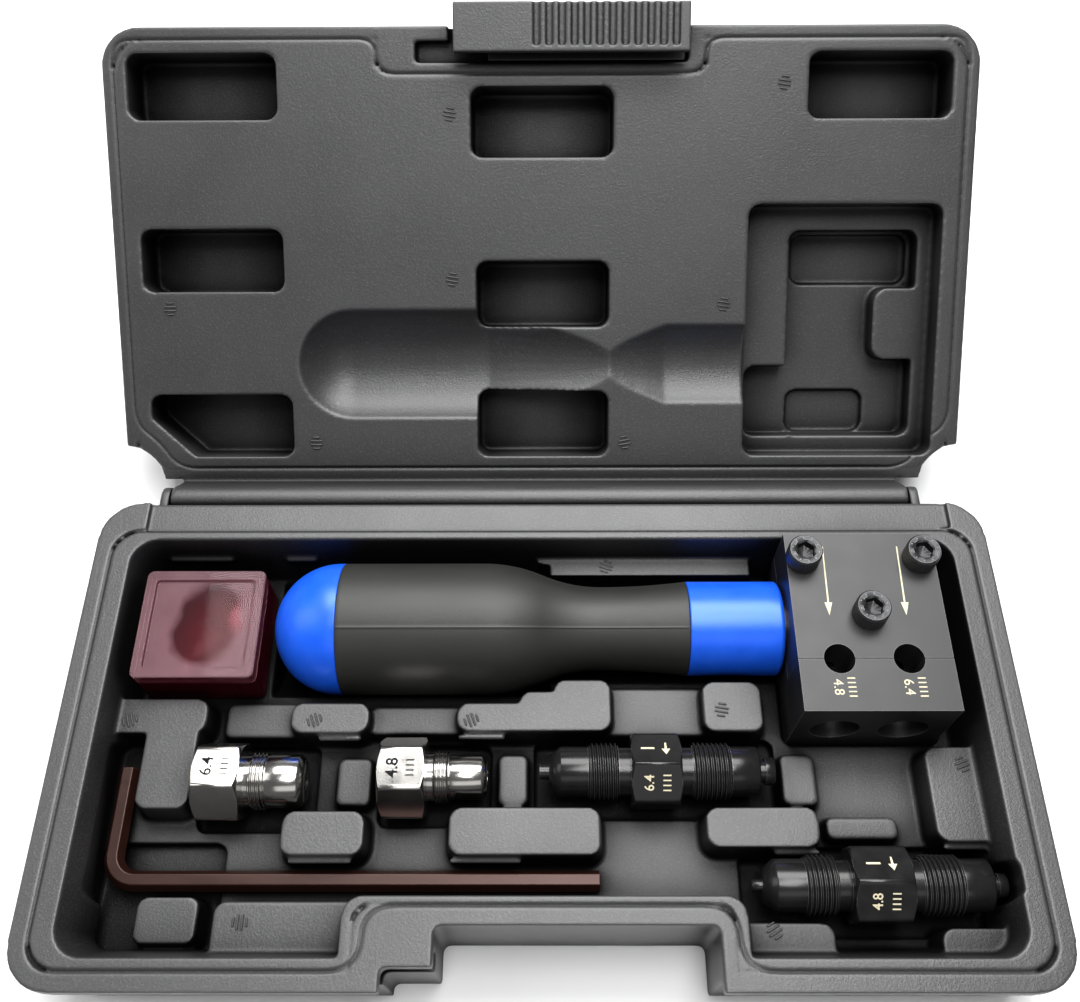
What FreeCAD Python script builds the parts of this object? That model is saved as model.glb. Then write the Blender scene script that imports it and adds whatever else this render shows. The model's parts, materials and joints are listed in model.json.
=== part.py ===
import FreeCAD, Part
import math
import os
import Sketcher

# Flaring tool kit: a two-window clamping die on a handle, with its punches, stops, key and lubricant,
# lying in the hinged, double-walled carry case that it is kept in.
# Frame: millimetres, +Z up, +X to the right, +Y to the hinge side; the case stands on Z = 0 and the
# middle of its footprint is the origin.  The case is open, the lid leaning back on its hinge.

doc = FreeCAD.newDocument("flaring_tool_kit")

DIMENSIONS = {
    # case
    "case_width": 270.0,
    "case_depth": 140.0,
    "base_height": 34.0,
    "lid_height": 21.5,
    "lid_gap": 0.15,
    "corner_radius": 12.0,
    "wall": 2.0,
    "flange_height": 5.0,
    "flange_overhang": 3.0,
    "rim_band": 4.5,
    "rim_back": 9.4,
    "lid_band": 3.4,
    "strip_drop": 1.1,
    "strip_left": -121.0,
    "strip_right": 125.0,
    "seal_width": 0.8,
    "seal_depth": 0.9,
    "basin_inset": 15.8,
    "basin_front": 12.9,
    "basin_back": 17.6,
    "tray_land": 9.0,
    "tray_low": 19.0,
    "tray_well": 22.4,
    "pad_radius": 5.0,
    # latch notch in the front of the case
    "notch_left": -27.2,
    "notch_right": 45.6,
    "notch_front": -54.2,
    "shoulder_left": -40.5,
    "frame_left": -50.8,
    "shoulder_front": -64.0,
    "notch_frame": 7.2,
    # hinge
    "hinge_y": 75.6,
    "hinge_drop": 9.1,
    "hinge_left": -117.0,
    "hinge_right": 115.6,
    "barrel_radius": 4.9,
    "pin_radius": 1.5,
    "pin_clearance": 0.06,
    "open_angle": 140.0,
    "lug_width": 3.0,
    # sliding latch
    "latch_left": -26.0,
    "latch_right": 45.0,
    "latch_front": -74.8,
    "latch_back": -60.6,
    "latch_reach": 8.2,
    "latch_flange": 2.8,
    "latch_travel": 11.0,
    "track_front": -65.5,
    "track_back": -59.3,
    "track_undercut": -57.1,
    "track_lip": 1.4,
    "track_height": 3.4,
    "flute_pitch": 3.8,
    "flute_width": 2.2,
    "flute_depth": 0.8,
    "flute_count": 12,
    # clamping die
    "die_x": 71.7,
    "die_y": -0.3,
    "die_z": 4.0,
    "die_width": 43.3,
    "die_depth": 54.7,
    "die_height": 38.0,
    "die_front_wall": 15.2,
    "die_split": 22.5,
    "die_gap": 0.2,
    "small_bore_x": 11.5,
    "large_bore_x": 30.9,
    "small_tube": 4.76,
    "large_tube": 6.35,
    "window_radius": 4.35,
    "window_floor": 13.5,
    "port_radius": 7.1,
    "screw_side": 4.65,
    "screw_back_y": 46.3,
    "screw_mid_y": 28.6,
    "screw_radius": 3.0,
    "screw_grip": 27.0,
    "screw_head_radius": 5.0,
    "screw_head_height": 6.0,
    "socket_flats": 5.0,
    "socket_depth": 3.2,
    # handle, measured along its own axis from the tip of the end cap
    "handle_x": -80.0,
    "handle_y": 32.7,
    "handle_z": 21.8,
    "cap_length": 21.0,
    "grip_radius": 19.7,
    "grip_straight": 42.0,
    "shoulder_reach": 82.0,
    "neck_x": 98.0,
    "neck_radius": 12.5,
    "grip_end": 123.5,
    "ferrule_radius": 14.1,
    "ferrule_end": 151.0,
    "rod_radius": 6.0,
    "rod_start": 12.0,
    "stud_radius": 3.4,
    "stud_length": 8.0,
    # stops, along their axis from the hexagon
    "stop_flats": 20.0,
    "stop_hexagon": 13.0,
    "stop_neck": 2.2,
    "stop_thread": 4.3,
    "stop_pilot": 9.1,
    "stop_point": 1.3,
    "thread_radius": 7.95,
    "relief_radius": 6.7,
    # punches, from the tip of the nib to the hexagon and from the hexagon to the other end
    "hex_flats": 19.0,
    "punch_pilot_radius": 6.9,
    "nib_end": 2.9,
    "cone_end": 6.0,
    "front_thread_start": 14.0,
    "front_thread_end": 22.2,
    "punch_hexagon": 25.7,
    "back_thread_start": 3.4,
    "back_thread_end": 14.0,
    "back_pilot_end": 22.0,
    "back_neck_end": 24.0,
    "back_end": 26.6,
    # hex key
    "key_flats": 5.0,
    "key_bend": 7.0,
    "key_long": 134.0,
    "key_short": 31.0,
    "key_x": -117.9,
    "key_y": -40.1,
    # lubricant box
    "box_x": -118.0,
    "box_y": 13.0,
    "box_width": 35.6,
    "box_depth": 34.0,
    "box_base_height": 13.0,
    "box_lid_height": 4.6,
    "box_wall": 1.2,
    "box_corner": 2.0,
    "box_gap": 0.1,
}


class Quantity:
    """A length that carries its number and the spreadsheet expression that gives it."""

    def __init__(self, value, text):
        self.value = float(value)
        self.text = text

    def __add__(self, other):
        other = quantity(other)
        return Quantity(self.value + other.value, f"({self.text} + {other.text})")

    def __radd__(self, other):
        return quantity(other) + self

    def __sub__(self, other):
        other = quantity(other)
        return Quantity(self.value - other.value, f"({self.text} - {other.text})")

    def __rsub__(self, other):
        return quantity(other) - self

    def __mul__(self, other):
        other = quantity(other)
        return Quantity(self.value * other.value, f"({self.text} * {other.text})")

    def __rmul__(self, other):
        return quantity(other) * self

    def __truediv__(self, other):
        other = quantity(other)
        return Quantity(self.value / other.value, f"({self.text} / {other.text})")

    def __neg__(self):
        return quantity(0) - self


def quantity(value):
    """Turn a plain number into a quantity; leave a quantity as it is."""
    if isinstance(value, Quantity):
        return value
    return Quantity(value, repr(float(value)))


class Dims:
    """The driving dimensions, as quantities under their spreadsheet names."""


def make_sheet():
    """Write the driving dimensions into the spreadsheet and return them as quantities."""
    sheet = doc.addObject("Spreadsheet::Sheet", "Dims")
    dims = Dims()
    for row, (name, value) in enumerate(DIMENSIONS.items(), start=1):
        sheet.set(f"A{row}", name)
        sheet.set(f"B{row}", str(value))
        sheet.setAlias(f"B{row}", name)
        setattr(dims, name, Quantity(value, f"Dims.{name}"))
    doc.recompute()
    return dims


d = make_sheet()
V = FreeCAD.Vector


def bind(item, prop, value):
    """Bind one property to a quantity."""
    value = quantity(value)
    item.setExpression(prop, value.text)


def place(item, x, y, z):
    """Bind the position of an object."""
    bind(item, "Placement.Base.x", x)
    bind(item, "Placement.Base.y", y)
    bind(item, "Placement.Base.z", z)


# ---------------------------------------------------------------- sketches

def fix_point(sketch, geometry, point, x, y):
    """Hold one sketch point at bound coordinates."""
    for kind, value, axis in (("DistanceX", x, -2), ("DistanceY", y, -1)):
        value = quantity(value)
        if value.value == 0:
            sketch.addConstraint(Sketcher.Constraint("PointOnObject", geometry, point, axis))
            continue
        index = sketch.addConstraint(Sketcher.Constraint(kind, -1, 1, geometry, point, value.value))
        sketch.setExpression(f"Constraints[{index}]", value.text)


def polygon(sketch, points):
    """A closed outline of straight lines through bound points."""
    points = [(quantity(x), quantity(y)) for x, y in points]
    count = len(points)
    for i in range(count):
        (x0, y0), (x1, y1) = points[i], points[(i + 1) % count]
        sketch.addGeometry(Part.LineSegment(V(x0.value, y0.value, 0), V(x1.value, y1.value, 0)), False)
    for i in range(count):
        sketch.addConstraint(Sketcher.Constraint("Coincident", i, 2, (i + 1) % count, 1))
        fix_point(sketch, i, 1, *points[i])


def circle(sketch, x, y, radius):
    """A circle at a bound centre."""
    x, y, radius = quantity(x), quantity(y), quantity(radius)
    geometry = Part.Circle(V(x.value, y.value, 0), V(0, 0, 1), radius.value)
    number = sketch.addGeometry(geometry, False)
    fix_point(sketch, number, 3, x, y)
    index = sketch.addConstraint(Sketcher.Constraint("Radius", number, radius.value))
    sketch.setExpression(f"Constraints[{index}]", radius.text)


def hexagon_points(cx, cy, flats, turn=0.0):
    """Corners of a hexagon of a given width across flats."""
    corner = quantity(flats) / math.sqrt(3.0)
    points = []
    for i in range(6):
        angle = math.radians(60.0 * i + turn)
        points.append((cx + corner * math.cos(angle), cy + corner * math.sin(angle)))
    return points


def rounded(sketch, x0, y0, x1, y1, radius):
    """A rectangle with rounded corners between bound edges."""
    x0, y0, x1, y1 = (quantity(v) for v in (x0, y0, x1, y1))
    radius = quantity(radius)
    r = radius.value
    a, b, c, e = x0.value, y0.value, x1.value, y1.value
    first = sketch.GeometryCount
    lines = [
        ((a + r, b), (c - r, b)),
        ((c, b + r), (c, e - r)),
        ((c - r, e), (a + r, e)),
        ((a, e - r), (a, b + r)),
    ]
    centres = [(c - r, b + r, -90), (c - r, e - r, 0), (a + r, e - r, 90), (a + r, b + r, 180)]
    for (p, q), (u, v, start) in zip(lines, centres):
        sketch.addGeometry(Part.LineSegment(V(*p, 0), V(*q, 0)), False)
        round_corner = Part.Circle(V(u, v, 0), V(0, 0, 1), r)
        arc = Part.ArcOfCircle(round_corner, math.radians(start), math.radians(start + 90))
        sketch.addGeometry(arc, False)
    for i in range(4):
        line, arc, after = first + 2 * i, first + 2 * i + 1, first + (2 * i + 2) % 8
        sketch.addConstraint(Sketcher.Constraint("Tangent", line, 2, arc, 1))
        sketch.addConstraint(Sketcher.Constraint("Tangent", arc, 2, after, 1))
        sketch.addConstraint(Sketcher.Constraint("Horizontal" if i % 2 == 0 else "Vertical", line))
        if i:
            sketch.addConstraint(Sketcher.Constraint("Equal", first + 1, arc))
    index = sketch.addConstraint(Sketcher.Constraint("Radius", first + 1, r))
    sketch.setExpression(f"Constraints[{index}]", radius.text)
    edges = (("DistanceY", 0, y0), ("DistanceX", 2, x1), ("DistanceY", 4, y1), ("DistanceX", 6, x0))
    for kind, line, value in edges:
        index = sketch.addConstraint(Sketcher.Constraint(kind, -1, 1, first + line, 1, value.value))
        sketch.setExpression(f"Constraints[{index}]", value.text)


# ---------------------------------------------------------------- PartDesign helpers

def new_body(name):
    """A body whose label names its file."""
    body = doc.addObject("PartDesign::Body", name)
    body.Label = name
    return body


def body_sketch(body, name, plane="XY_Plane", offset=0):
    """A sketch on one of the body's own planes, lifted along its normal."""
    sketch = body.newObject("Sketcher::SketchObject", name)
    for feature in body.Origin.OriginFeatures:
        if feature.Role == plane:
            sketch.AttachmentSupport = (feature, "")
    sketch.MapMode = "FlatFace"
    bind(sketch, ".AttachmentOffset.Base.z", offset)
    return sketch


def pad(body, sketch, length, name, reverse=False):
    """Add material along the sketch normal."""
    feature = body.newObject("PartDesign::Pad", name)
    feature.Profile = sketch
    feature.Reversed = reverse
    bind(feature, "Length", length)
    return feature


def pocket(body, sketch, length, name, reverse=False):
    """Take material away against the sketch normal."""
    feature = body.newObject("PartDesign::Pocket", name)
    feature.Profile = sketch
    feature.Reversed = reverse
    bind(feature, "Length", length)
    return feature


def revolve(body, sketch, name, groove=False, axis="H_Axis"):
    """Turn a profile about one of the sketch's own axes."""
    feature = body.newObject("PartDesign::Groove" if groove else "PartDesign::Revolution", name)
    feature.Profile = sketch
    feature.ReferenceAxis = (sketch, [axis])
    feature.Angle = 360
    return feature


# ---------------------------------------------------------------- case halves

def block(name, x0, y0, x1, y1, radius, bottom, top, taper=0.0):
    """A rounded rectangular block between two levels; a positive taper widens it towards its end."""
    sketch = doc.addObject("Sketcher::SketchObject", name + "_outline")
    rounded(sketch, x0, y0, x1, y1, radius)
    bind(sketch, "Placement.Base.z", bottom)
    body = doc.addObject("Part::Extrusion", name)
    body.Base = sketch
    body.DirMode = "Normal"
    body.Solid = True
    bind(body, "LengthFwd", quantity(top) - quantity(bottom))
    body.TaperAngle = taper
    return body


def rod_x(name, x0, x1, y, z, radius):
    """A cylinder along X."""
    rod = doc.addObject("Part::Cylinder", name)
    bind(rod, "Radius", radius)
    bind(rod, "Height", quantity(x1) - quantity(x0))
    rod.Placement.Rotation = FreeCAD.Rotation(V(0, 1, 0), 90)
    place(rod, x0, y, z)
    return rod


def box(name, x0, y0, z0, x1, y1, z1):
    """A plain box between two corners."""
    solid = doc.addObject("Part::Box", name)
    bind(solid, "Length", quantity(x1) - quantity(x0))
    bind(solid, "Width", quantity(y1) - quantity(y0))
    bind(solid, "Height", quantity(z1) - quantity(z0))
    place(solid, x0, y0, z0)
    return solid


def fuse(name, shapes):
    """One solid from several."""
    if len(shapes) == 1:
        return shapes[0]
    result = doc.addObject("Part::MultiFuse", name)
    result.Shapes = shapes
    return result


def cut(name, base, tools):
    """Take several shapes from one."""
    result = doc.addObject("Part::Cut", name)
    result.Base = base
    result.Tool = fuse(name + "_tools", tools)
    return result


half_w = d.case_width / 2
half_d = d.case_depth / 2
rim = d.base_height
land = rim - d.tray_land
low = rim - d.tray_low
well = rim - d.tray_well
hinge_z = rim - d.hinge_drop
lid_floor = rim + d.lid_gap
lid_top = lid_floor + d.lid_height

# Raised pads of the tray: left, front, right and back edges; their tops are the land.
PADS = {
    "left": (-128.0, -1.4, -95.2, 10.4),
    "left_tongue": (-113.6, -23.0, -96.9, 6.0),
    "left_back": (-72.6, -1.5, -48.6, 9.2),
    "middle_back": (-24.9, -1.0, 21.0, 9.2),
    "waist_slope": (-7.0, -1.0, 14.0, 12.6),
    "waist": (3.0, -1.0, 21.0, 16.2),
    "right_back": (45.8, -1.2, 64.6, 15.4),
    "left_middle": (-71.8, -35.6, -47.6, -22.0),
    "middle": (-26.0, -35.6, 17.2, -21.0),
    "right_middle": (44.4, -33.4, 76.8, -21.0),
    "left_front": (-87.2, -64.0, -46.0, -45.8),
    "right_front": (49.0, -64.0, 77.6, -51.2),
    "right_front_middle": (103.6, -66.0, 130.0, -52.5),
    "right": (107.0, -32.0, 130.0, -4.0),
    "neck_land": (-2.0, 42.0, 65.0, 62.0),
}


# Lower saddles between the pads: the same edges.
SADDLES = {
    "left_back": (-92.0, -1.0, -70.0, 10.0),
    "stop_back": (-50.0, 0.0, -22.0, 9.0),
    "neck_back": (18.0, -0.6, 48.0, 14.6),
    "punch_side": (78.6, -29.8, 99.0, -23.2),
    "punch_end": (67.6, -20.4, 78.0, -5.4),
    "stop_gap": (-58.0, -20.6, -47.6, -6.4),
    "stop_end": (-12.4, -20.6, -3.4, -5.4),
}

# Draft of the pads and of the basin's outer walls, degrees.
DRAFT = 6.0
BASIN_DRAFT = 14.0

# Corner radius of the basin's floor.
BASIN_CORNER = 3.2

# Sunken wells under the stops and punches: left, front, right and back edges.
WELLS = {
    "stop_large": (-97.4, -26.4, -64.0, -1.6),
    "stop_small": (-46.4, -25.0, -14.4, -1.2),
    "punch_large": (-2.0, -22.8, 67.4, 0.2),
    "punch_small": (54.6, -54.4, 121.0, -30.6),
    "key_corner": (-122.0, -60.0, -87.8, -29.4),
}

# Where the grooves of the rims pass around the latch: left, right and back edges.
BASE_FRAME = (-47.8, 49.4, -49.4)
LID_FRAME = (-50.0, 50.5, -56.2)

# Low pad in the corner behind the bend of the key.
CORNER_PAD = (-109.3, -58.0, -90.5, -43.8)

# Slots in the edge of the basin for the end of the small punch and the short arm of the key.
PUNCH_END = (115.0, -47.4, 124.8, -37.0)
KEY_SLOT = (-122.0, -46.0, -110.0, -2.0)


def case_profile(tag, inset, bottom, top, taper=0.0):
    """A block with the outline of the case, brought in by an inset."""
    return block(tag, inset - half_w, inset - half_d, half_w - inset, half_d - inset,
                 quantity(d.corner_radius) - quantity(inset) * 0.75, bottom, top, taper)


def front_frame(tag, grow, bottom, top):
    """The part of the case front that stands around the latch notch."""
    flare = (quantity(top) - bottom) * math.tan(math.radians(DRAFT))
    left = d.frame_left - grow - flare
    right = d.notch_right + d.notch_frame + grow + flare
    back = d.notch_front + d.notch_frame + grow + flare
    return block(tag, left, -half_d - 12, right, back, quantity(5.0) + flare, bottom, top, -DRAFT)


def seal_line(tag, level, depth, inset, back_inset, frame):
    """The thin groove around a rim; frame is its way around the latch: left, right and back edges."""
    left, right, back = frame

    def inside(name, grow, bottom, top):
        """The space within the line, brought in by a width."""
        side, front = half_w - inset - grow, inset + grow - half_d
        outline = block(f"{tag}_{name}", -side, front, side, half_d - back_inset - grow,
                        quantity(d.corner_radius) - inset * 0.75, bottom, top)
        around = block(f"{tag}_{name}_frame", quantity(left) - grow, -half_d - 5, quantity(right) + grow,
                       quantity(back) + grow, 5.0, bottom, top)
        return cut(f"{tag}_{name}_ring", outline, [around])

    outer = inside("out", quantity(0), level - depth, level + depth)
    inner = inside("in", d.seal_width, level - depth * 2, level + depth * 2)
    return cut(tag, outer, [inner])


def basin(tag, grow, top):
    """The open space of the base with its drafted walls, or the same space grown all round by a wall."""
    side = half_w - d.basin_inset + grow
    deep = block(tag + "_deep", -side, d.basin_front - half_d - grow, side, half_d - d.basin_back + grow,
                 BASIN_CORNER + grow, low - grow, top, BASIN_DRAFT)
    frame = front_frame(tag + "_frame", -grow, low - grow - 1, top + 1)
    wells = [upright(f"{tag}_well_{name}", grow, *edges, well, low + 1) for name, edges in WELLS.items()]
    end = upright(tag + "_well_end", grow, *PUNCH_END, well, top)
    key_slot = upright(tag + "_key_slot", grow, *KEY_SLOT, low, land + 3.0)
    return fuse(tag, [cut(tag + "_space", deep, [frame]), end, key_slot] + wells)


def tray_pads(tag, grow):
    """The raised pads and the saddles, drawn in by the same wall where they bound it."""
    flare = 0.7  # the foot of a pad stands out by this much, and the draft takes it back
    pads = []
    for kind, edges, radius, top in (("pad", PADS, d.pad_radius, land), ("saddle", SADDLES, 3.0, land - 4.6)):
        for name, (x0, y0, x1, y1) in edges.items():
            edge = flare - grow
            pads.append(block(f"{tag}_{kind}_{name}", x0 - edge, y0 - edge, x1 + edge, y1 + edge,
                              quantity(radius) - grow, well - grow - 1, top - grow, -DRAFT))
    return pads


def handle_trough(tag, grow):
    """Room for the handle: its full part and its neck, turned, with a clearance."""
    room = grow + 0.6
    return [
        rod_x(tag + "_grip", d.handle_x - room, d.handle_x + d.shoulder_reach + room, d.handle_y, d.handle_z,
              d.grip_radius + room),
        rod_x(tag + "_neck", d.handle_x + d.cap_length + d.grip_straight, d.die_x + 0.5, d.handle_y,
              d.handle_z, d.ferrule_radius + room + 1.5),
    ]


def upright(tag, grow, x0, y0, x1, y1, bottom, top, radius=3.0):
    """A straight-walled recess, grown by a wall on every side but its mouth."""
    return block(tag, quantity(x0) - grow, quantity(y0) - grow, quantity(x1) + grow, quantity(y1) + grow,
                 quantity(radius) + grow, quantity(bottom) - grow, top)


def base_space(tag, grow, top):
    """Everything that is open from above in the base."""
    pads = tray_pads(tag, grow)
    x0, y0, x1, y1 = CORNER_PAD
    corner_pad = block(tag + "_corner_pad", grow + x0, grow + y0, x1 - grow, y1 - grow,
                       quantity(4) - grow, well - grow - 1, land - 4 - grow, -DRAFT)
    tray = cut(tag + "_tray", basin(tag + "_basin", grow, top), pads + [corner_pad])
    die_room = upright(tag + "_die_room", grow, d.die_x - 1.2, d.die_y - 1.0, d.die_x + d.die_width + 1.2,
                       d.die_y + d.die_depth + 0.6, d.die_z - 0.1, top)
    grip_half = d.grip_radius + 0.8
    grip_slot = upright(tag + "_grip_slot", grow, d.handle_x - 1.5, d.handle_y - grip_half,
                        d.handle_x + d.shoulder_reach, d.handle_y + grip_half, d.handle_z, top)
    neck_half = d.ferrule_radius + 2.2
    neck_slot = upright(tag + "_neck_slot", grow, d.handle_x + 60, d.handle_y - neck_half, d.die_x,
                        d.handle_y + neck_half, d.handle_z, top)
    return fuse(tag, [tray, die_room, grip_slot, neck_slot] + handle_trough(tag + "_trough", grow))


def notch(tag, grow, bottom, top):
    """The latch notch with its shoulder, and the catch pocket below the shoulder."""
    front = -half_d - 2
    return [
        block(tag + "_deep", d.notch_left - grow, front, d.notch_right + grow, d.notch_front + grow, 2.0,
              bottom, top),
        block(tag + "_shoulder", d.shoulder_left - grow, front, d.notch_left + 6, d.shoulder_front + grow,
              1.9, bottom, top),
        box(tag + "_catch", d.shoulder_left - 1 - grow, front, rim - 10 - grow, d.notch_left + 1,
            d.latch_back + 1.2 + grow, rim - 4.6 + grow),
    ]


def make_base():
    """Lower half of the case: a closed double wall, tray and all."""
    flange = case_profile("base_flange", 0, rim - d.flange_height, rim)
    lower = case_profile("base_lower", d.flange_overhang, 0, rim - d.flange_height + 0.1)
    lugs = []
    for side, x0 in (("left", d.hinge_left - 0.4 - d.lug_width), ("right", d.hinge_right + 0.4)):
        arm = box(f"base_lug_arm_{side}", x0, half_d - d.flange_overhang - 1, hinge_z - d.barrel_radius + 0.5,
                  x0 + d.lug_width, d.hinge_y, hinge_z + d.barrel_radius - 0.5)
        eye = rod_x(f"base_lug_eye_{side}", x0, x0 + d.lug_width, d.hinge_y, hinge_z, d.barrel_radius - 0.5)
        lugs += [arm, eye]
    outer = fuse("base_outer", [flange, lower] + lugs)
    hole = rod_x("base_pin_hole", d.hinge_left - 5, d.hinge_right + 5, d.hinge_y, hinge_z, d.pin_radius)
    back_strip = box("base_back_strip", d.strip_left, half_d - d.rim_back, rim - d.strip_drop, d.strip_right,
                     half_d + 1, rim + 1)
    opened = cut("base_open", outer, [base_space("base_space", quantity(0), rim + 1)]
                 + notch("base_notch", quantity(0), -1, rim + 1)
                 + [seal_line("base_seal", rim, d.seal_depth, d.rim_band, d.rim_back, BASE_FRAME), hole,
                    back_strip])
    core = case_profile("base_core", d.flange_overhang + d.wall, d.wall, rim - d.wall - d.seal_depth)
    hollow = cut("base_hollow", core, [base_space("base_skin", d.wall, rim + 1)]
                 + notch("base_notch_skin", d.wall, -1, rim + 1))
    return cut("case_base", opened, [hollow])


# Recesses moulded into the lid: left, front, right, back edges and depth, seen with the case closed.
LID_RECESSES = {
    "left_front": (-127.2, -62.3, -81.4, -42.6, 14.0),
    "middle_front": (-21.5, -52.2, 22.6, -31.2, 14.0),
    "right_front": (82.6, -62.2, 126.6, -42.4, 14.0),
    "left_middle": (-126.0, -9.7, -81.4, 9.8, 14.0),
    "middle": (-20.4, 0.4, 21.6, 21.0, 15.0),
    "middle_back": (-20.4, 41.4, 21.6, 62.5, 15.0),
    "die_side": (65.4, -16.8, 126.0, 62.4, 8.8),
}

# Deeper pockets for the die and the heads of its screws.
DIE_RECESSES = {
    "die": (80.0, -9.4, 121.2, 57.0, 16.4),
    "die_left": (66.6, 34.0, 84.0, 57.0, 16.4),
    "die_front": (82.0, -8.2, 119.8, 7.6, 18.6),
    "die_back": (82.0, 42.4, 107.6, 56.4, 18.6),
}

# The recess whose corner is cut off behind a slanting line, and that line: a point and its angle.
LEFT_BACK = (-126.0, 42.4, -80.4, 62.5, 14.0)
LEFT_BACK_LINE = (-119.2, 56.2, 42.8)

# What stands in the side of the die's pocket.
DIE_BUMP = (108.0, 9.0, 130.0, 32.0)


def lid_recess(tag, grow, bottom, edges):
    """One rounded recess of the lid, grown by a wall."""
    x0, y0, x1, y1, depth = edges
    return block(tag, x0 - grow, y0 - grow, x1 + grow, y1 + grow, quantity(3.5) + grow, bottom,
                 lid_floor + depth + grow)


def corner_stop(tag, grow, x, y, angle):
    """What a recess leaves standing beside a scooped corner: everything behind a slanting line."""
    along, across = math.cos(math.radians(angle)), math.sin(math.radians(angle))
    reach = 30
    stop = doc.addObject("Part::Box", tag)
    stop.Length = 2 * reach
    stop.Width = reach
    stop.Height = 2 * reach
    stop.Placement.Rotation = FreeCAD.Rotation(V(0, 0, 1), angle)
    place(stop, x - reach * along - grow * across, y - reach * across + grow * along, rim - 10)
    return stop


def cone_x(name, x0, x1, y, z, radius0, radius1):
    """A cone along X."""
    cone = doc.addObject("Part::Cone", name)
    bind(cone, "Radius1", radius0)
    bind(cone, "Radius2", radius1)
    bind(cone, "Height", quantity(x1) - quantity(x0))
    cone.Placement.Rotation = FreeCAD.Rotation(V(0, 1, 0), 90)
    place(cone, x0, y, z)
    return cone


def handle_channel(tag, grow):
    """Room for the handle in the lid: dome, full part, tapering neck and the wider ferrule."""
    full = d.grip_radius + 1.6 + grow
    neck = d.neck_radius + 0.5 + grow
    ferrule = d.ferrule_radius + 3.5 + grow
    dome_x = d.handle_x + d.grip_radius
    neck_x = d.handle_x + d.neck_x + 4
    dome = doc.addObject("Part::Sphere", tag + "_dome")
    bind(dome, "Radius", full)
    place(dome, dome_x, d.handle_y, d.handle_z)
    grip_end = d.handle_x + d.cap_length + d.grip_straight
    axis = (d.handle_y, d.handle_z)
    return [
        dome,
        rod_x(tag + "_grip", dome_x, grip_end, *axis, full),
        cone_x(tag + "_neck", grip_end, neck_x, *axis, full, neck),
        cone_x(tag + "_flare", neck_x, neck_x + 18, *axis, neck, ferrule),
        rod_x(tag + "_ferrule", neck_x + 18, d.die_x - 5, *axis, ferrule),
    ]


def lid_space(tag, grow, bottom):
    """Everything that is open from below in the closed lid."""
    shapes = [lid_recess(f"{tag}_{name}", grow, bottom, edges) for name, edges in LID_RECESSES.items()]
    left_back = lid_recess(tag + "_left_back", grow, bottom, LEFT_BACK)
    left_stop = corner_stop(tag + "_left_stop", grow, *LEFT_BACK_LINE)
    shapes.append(cut(tag + "_left_back_cut", left_back, [left_stop]))
    die = fuse(tag + "_die_pockets",
               [lid_recess(f"{tag}_{name}", grow, bottom, edges) for name, edges in DIE_RECESSES.items()])
    x0, y0, x1, y1 = DIE_BUMP
    bump = block(tag + "_bump", grow + x0, grow + y0, x1, y1 - grow, quantity(4.5) - grow, rim - 2,
                 lid_top + 2)
    shapes.append(cut(tag + "_die_cut", die, [bump]))
    return shapes + handle_channel(tag + "_channel", grow)


def latch_track(tag, grow):
    """The track the latch hook slides in, open to the front under the latch."""
    slid_left = d.latch_left - d.latch_travel - 1.2 - grow
    right = d.latch_right + 0.2 + grow
    roof = lid_floor + d.track_height + grow
    return [
        box(tag + "_mouth", slid_left, d.track_front - grow, rim - 1, right, d.track_back + grow, roof),
        box(tag + "_under", slid_left, d.track_front - grow, lid_floor + d.track_lip - grow, right,
            d.track_undercut + grow, roof),
        box(tag + "_front", d.latch_left - 2.0 - grow, -half_d - 2, rim - 1, right,
            d.track_front + 0.1 + grow, roof),
    ]


def corner_scoops(tag, grow):
    """The two scooped corners beside the hinge."""
    scoops = []
    for side, x in (("left", -half_w - 0.5), ("right", half_w + 0.5)):
        scoop = doc.addObject("Part::Cylinder", f"{tag}_{side}")
        bind(scoop, "Radius", grow + 12.5)
        bind(scoop, "Height", d.lid_height + 20)
        place(scoop, x, half_d + 1.5, rim - 5)
        scoops.append(scoop)
    return scoops


def make_lid():
    """Upper half of the case, made closed and then swung open about the hinge."""
    flange = case_profile("lid_flange", 0.1, lid_floor, lid_floor + d.flange_height)
    upper = case_profile("lid_upper", d.flange_overhang, lid_floor + d.flange_height - 0.1, lid_top)
    barrel = rod_x("lid_barrel", d.hinge_left, d.hinge_right, d.hinge_y, hinge_z, d.barrel_radius)
    strap_back, strap_top = half_d + 4.2, lid_floor + 4.5
    strap = box("lid_strap", d.hinge_left, half_d + 0.7, hinge_z, d.hinge_right, strap_back, strap_top)
    tie = box("lid_strap_tie", d.hinge_left, half_d - 4, lid_floor + 0.3, d.hinge_right, strap_back,
              strap_top)
    body = cut("lid_scooped", fuse("lid_body", [flange, upper]), corner_scoops("lid_scoop", quantity(0)))
    outer = fuse("lid_outer", [body, barrel, strap, tie])
    bore = rod_x("lid_pin_bore", d.hinge_left - 1, d.hinge_right + 1, d.hinge_y, hinge_z,
                 d.pin_radius + d.pin_clearance)
    opened = cut("lid_open", outer, lid_space("lid_space", quantity(0), rim - 1)
                 + latch_track("lid_track", quantity(0))
                 + [seal_line("lid_seal", lid_floor, d.seal_depth, d.lid_band, d.lid_band, LID_FRAME), bore])
    core = case_profile("lid_core", d.flange_overhang + d.wall, lid_floor + d.wall + d.seal_depth,
                        lid_top - d.wall)
    hollow = cut("lid_hollow", core, lid_space("lid_skin", d.wall, rim - 1)
                 + latch_track("lid_track_skin", d.wall) + corner_scoops("lid_scoop_skin", d.wall))
    return cut("case_lid", opened, [hollow])


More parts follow.
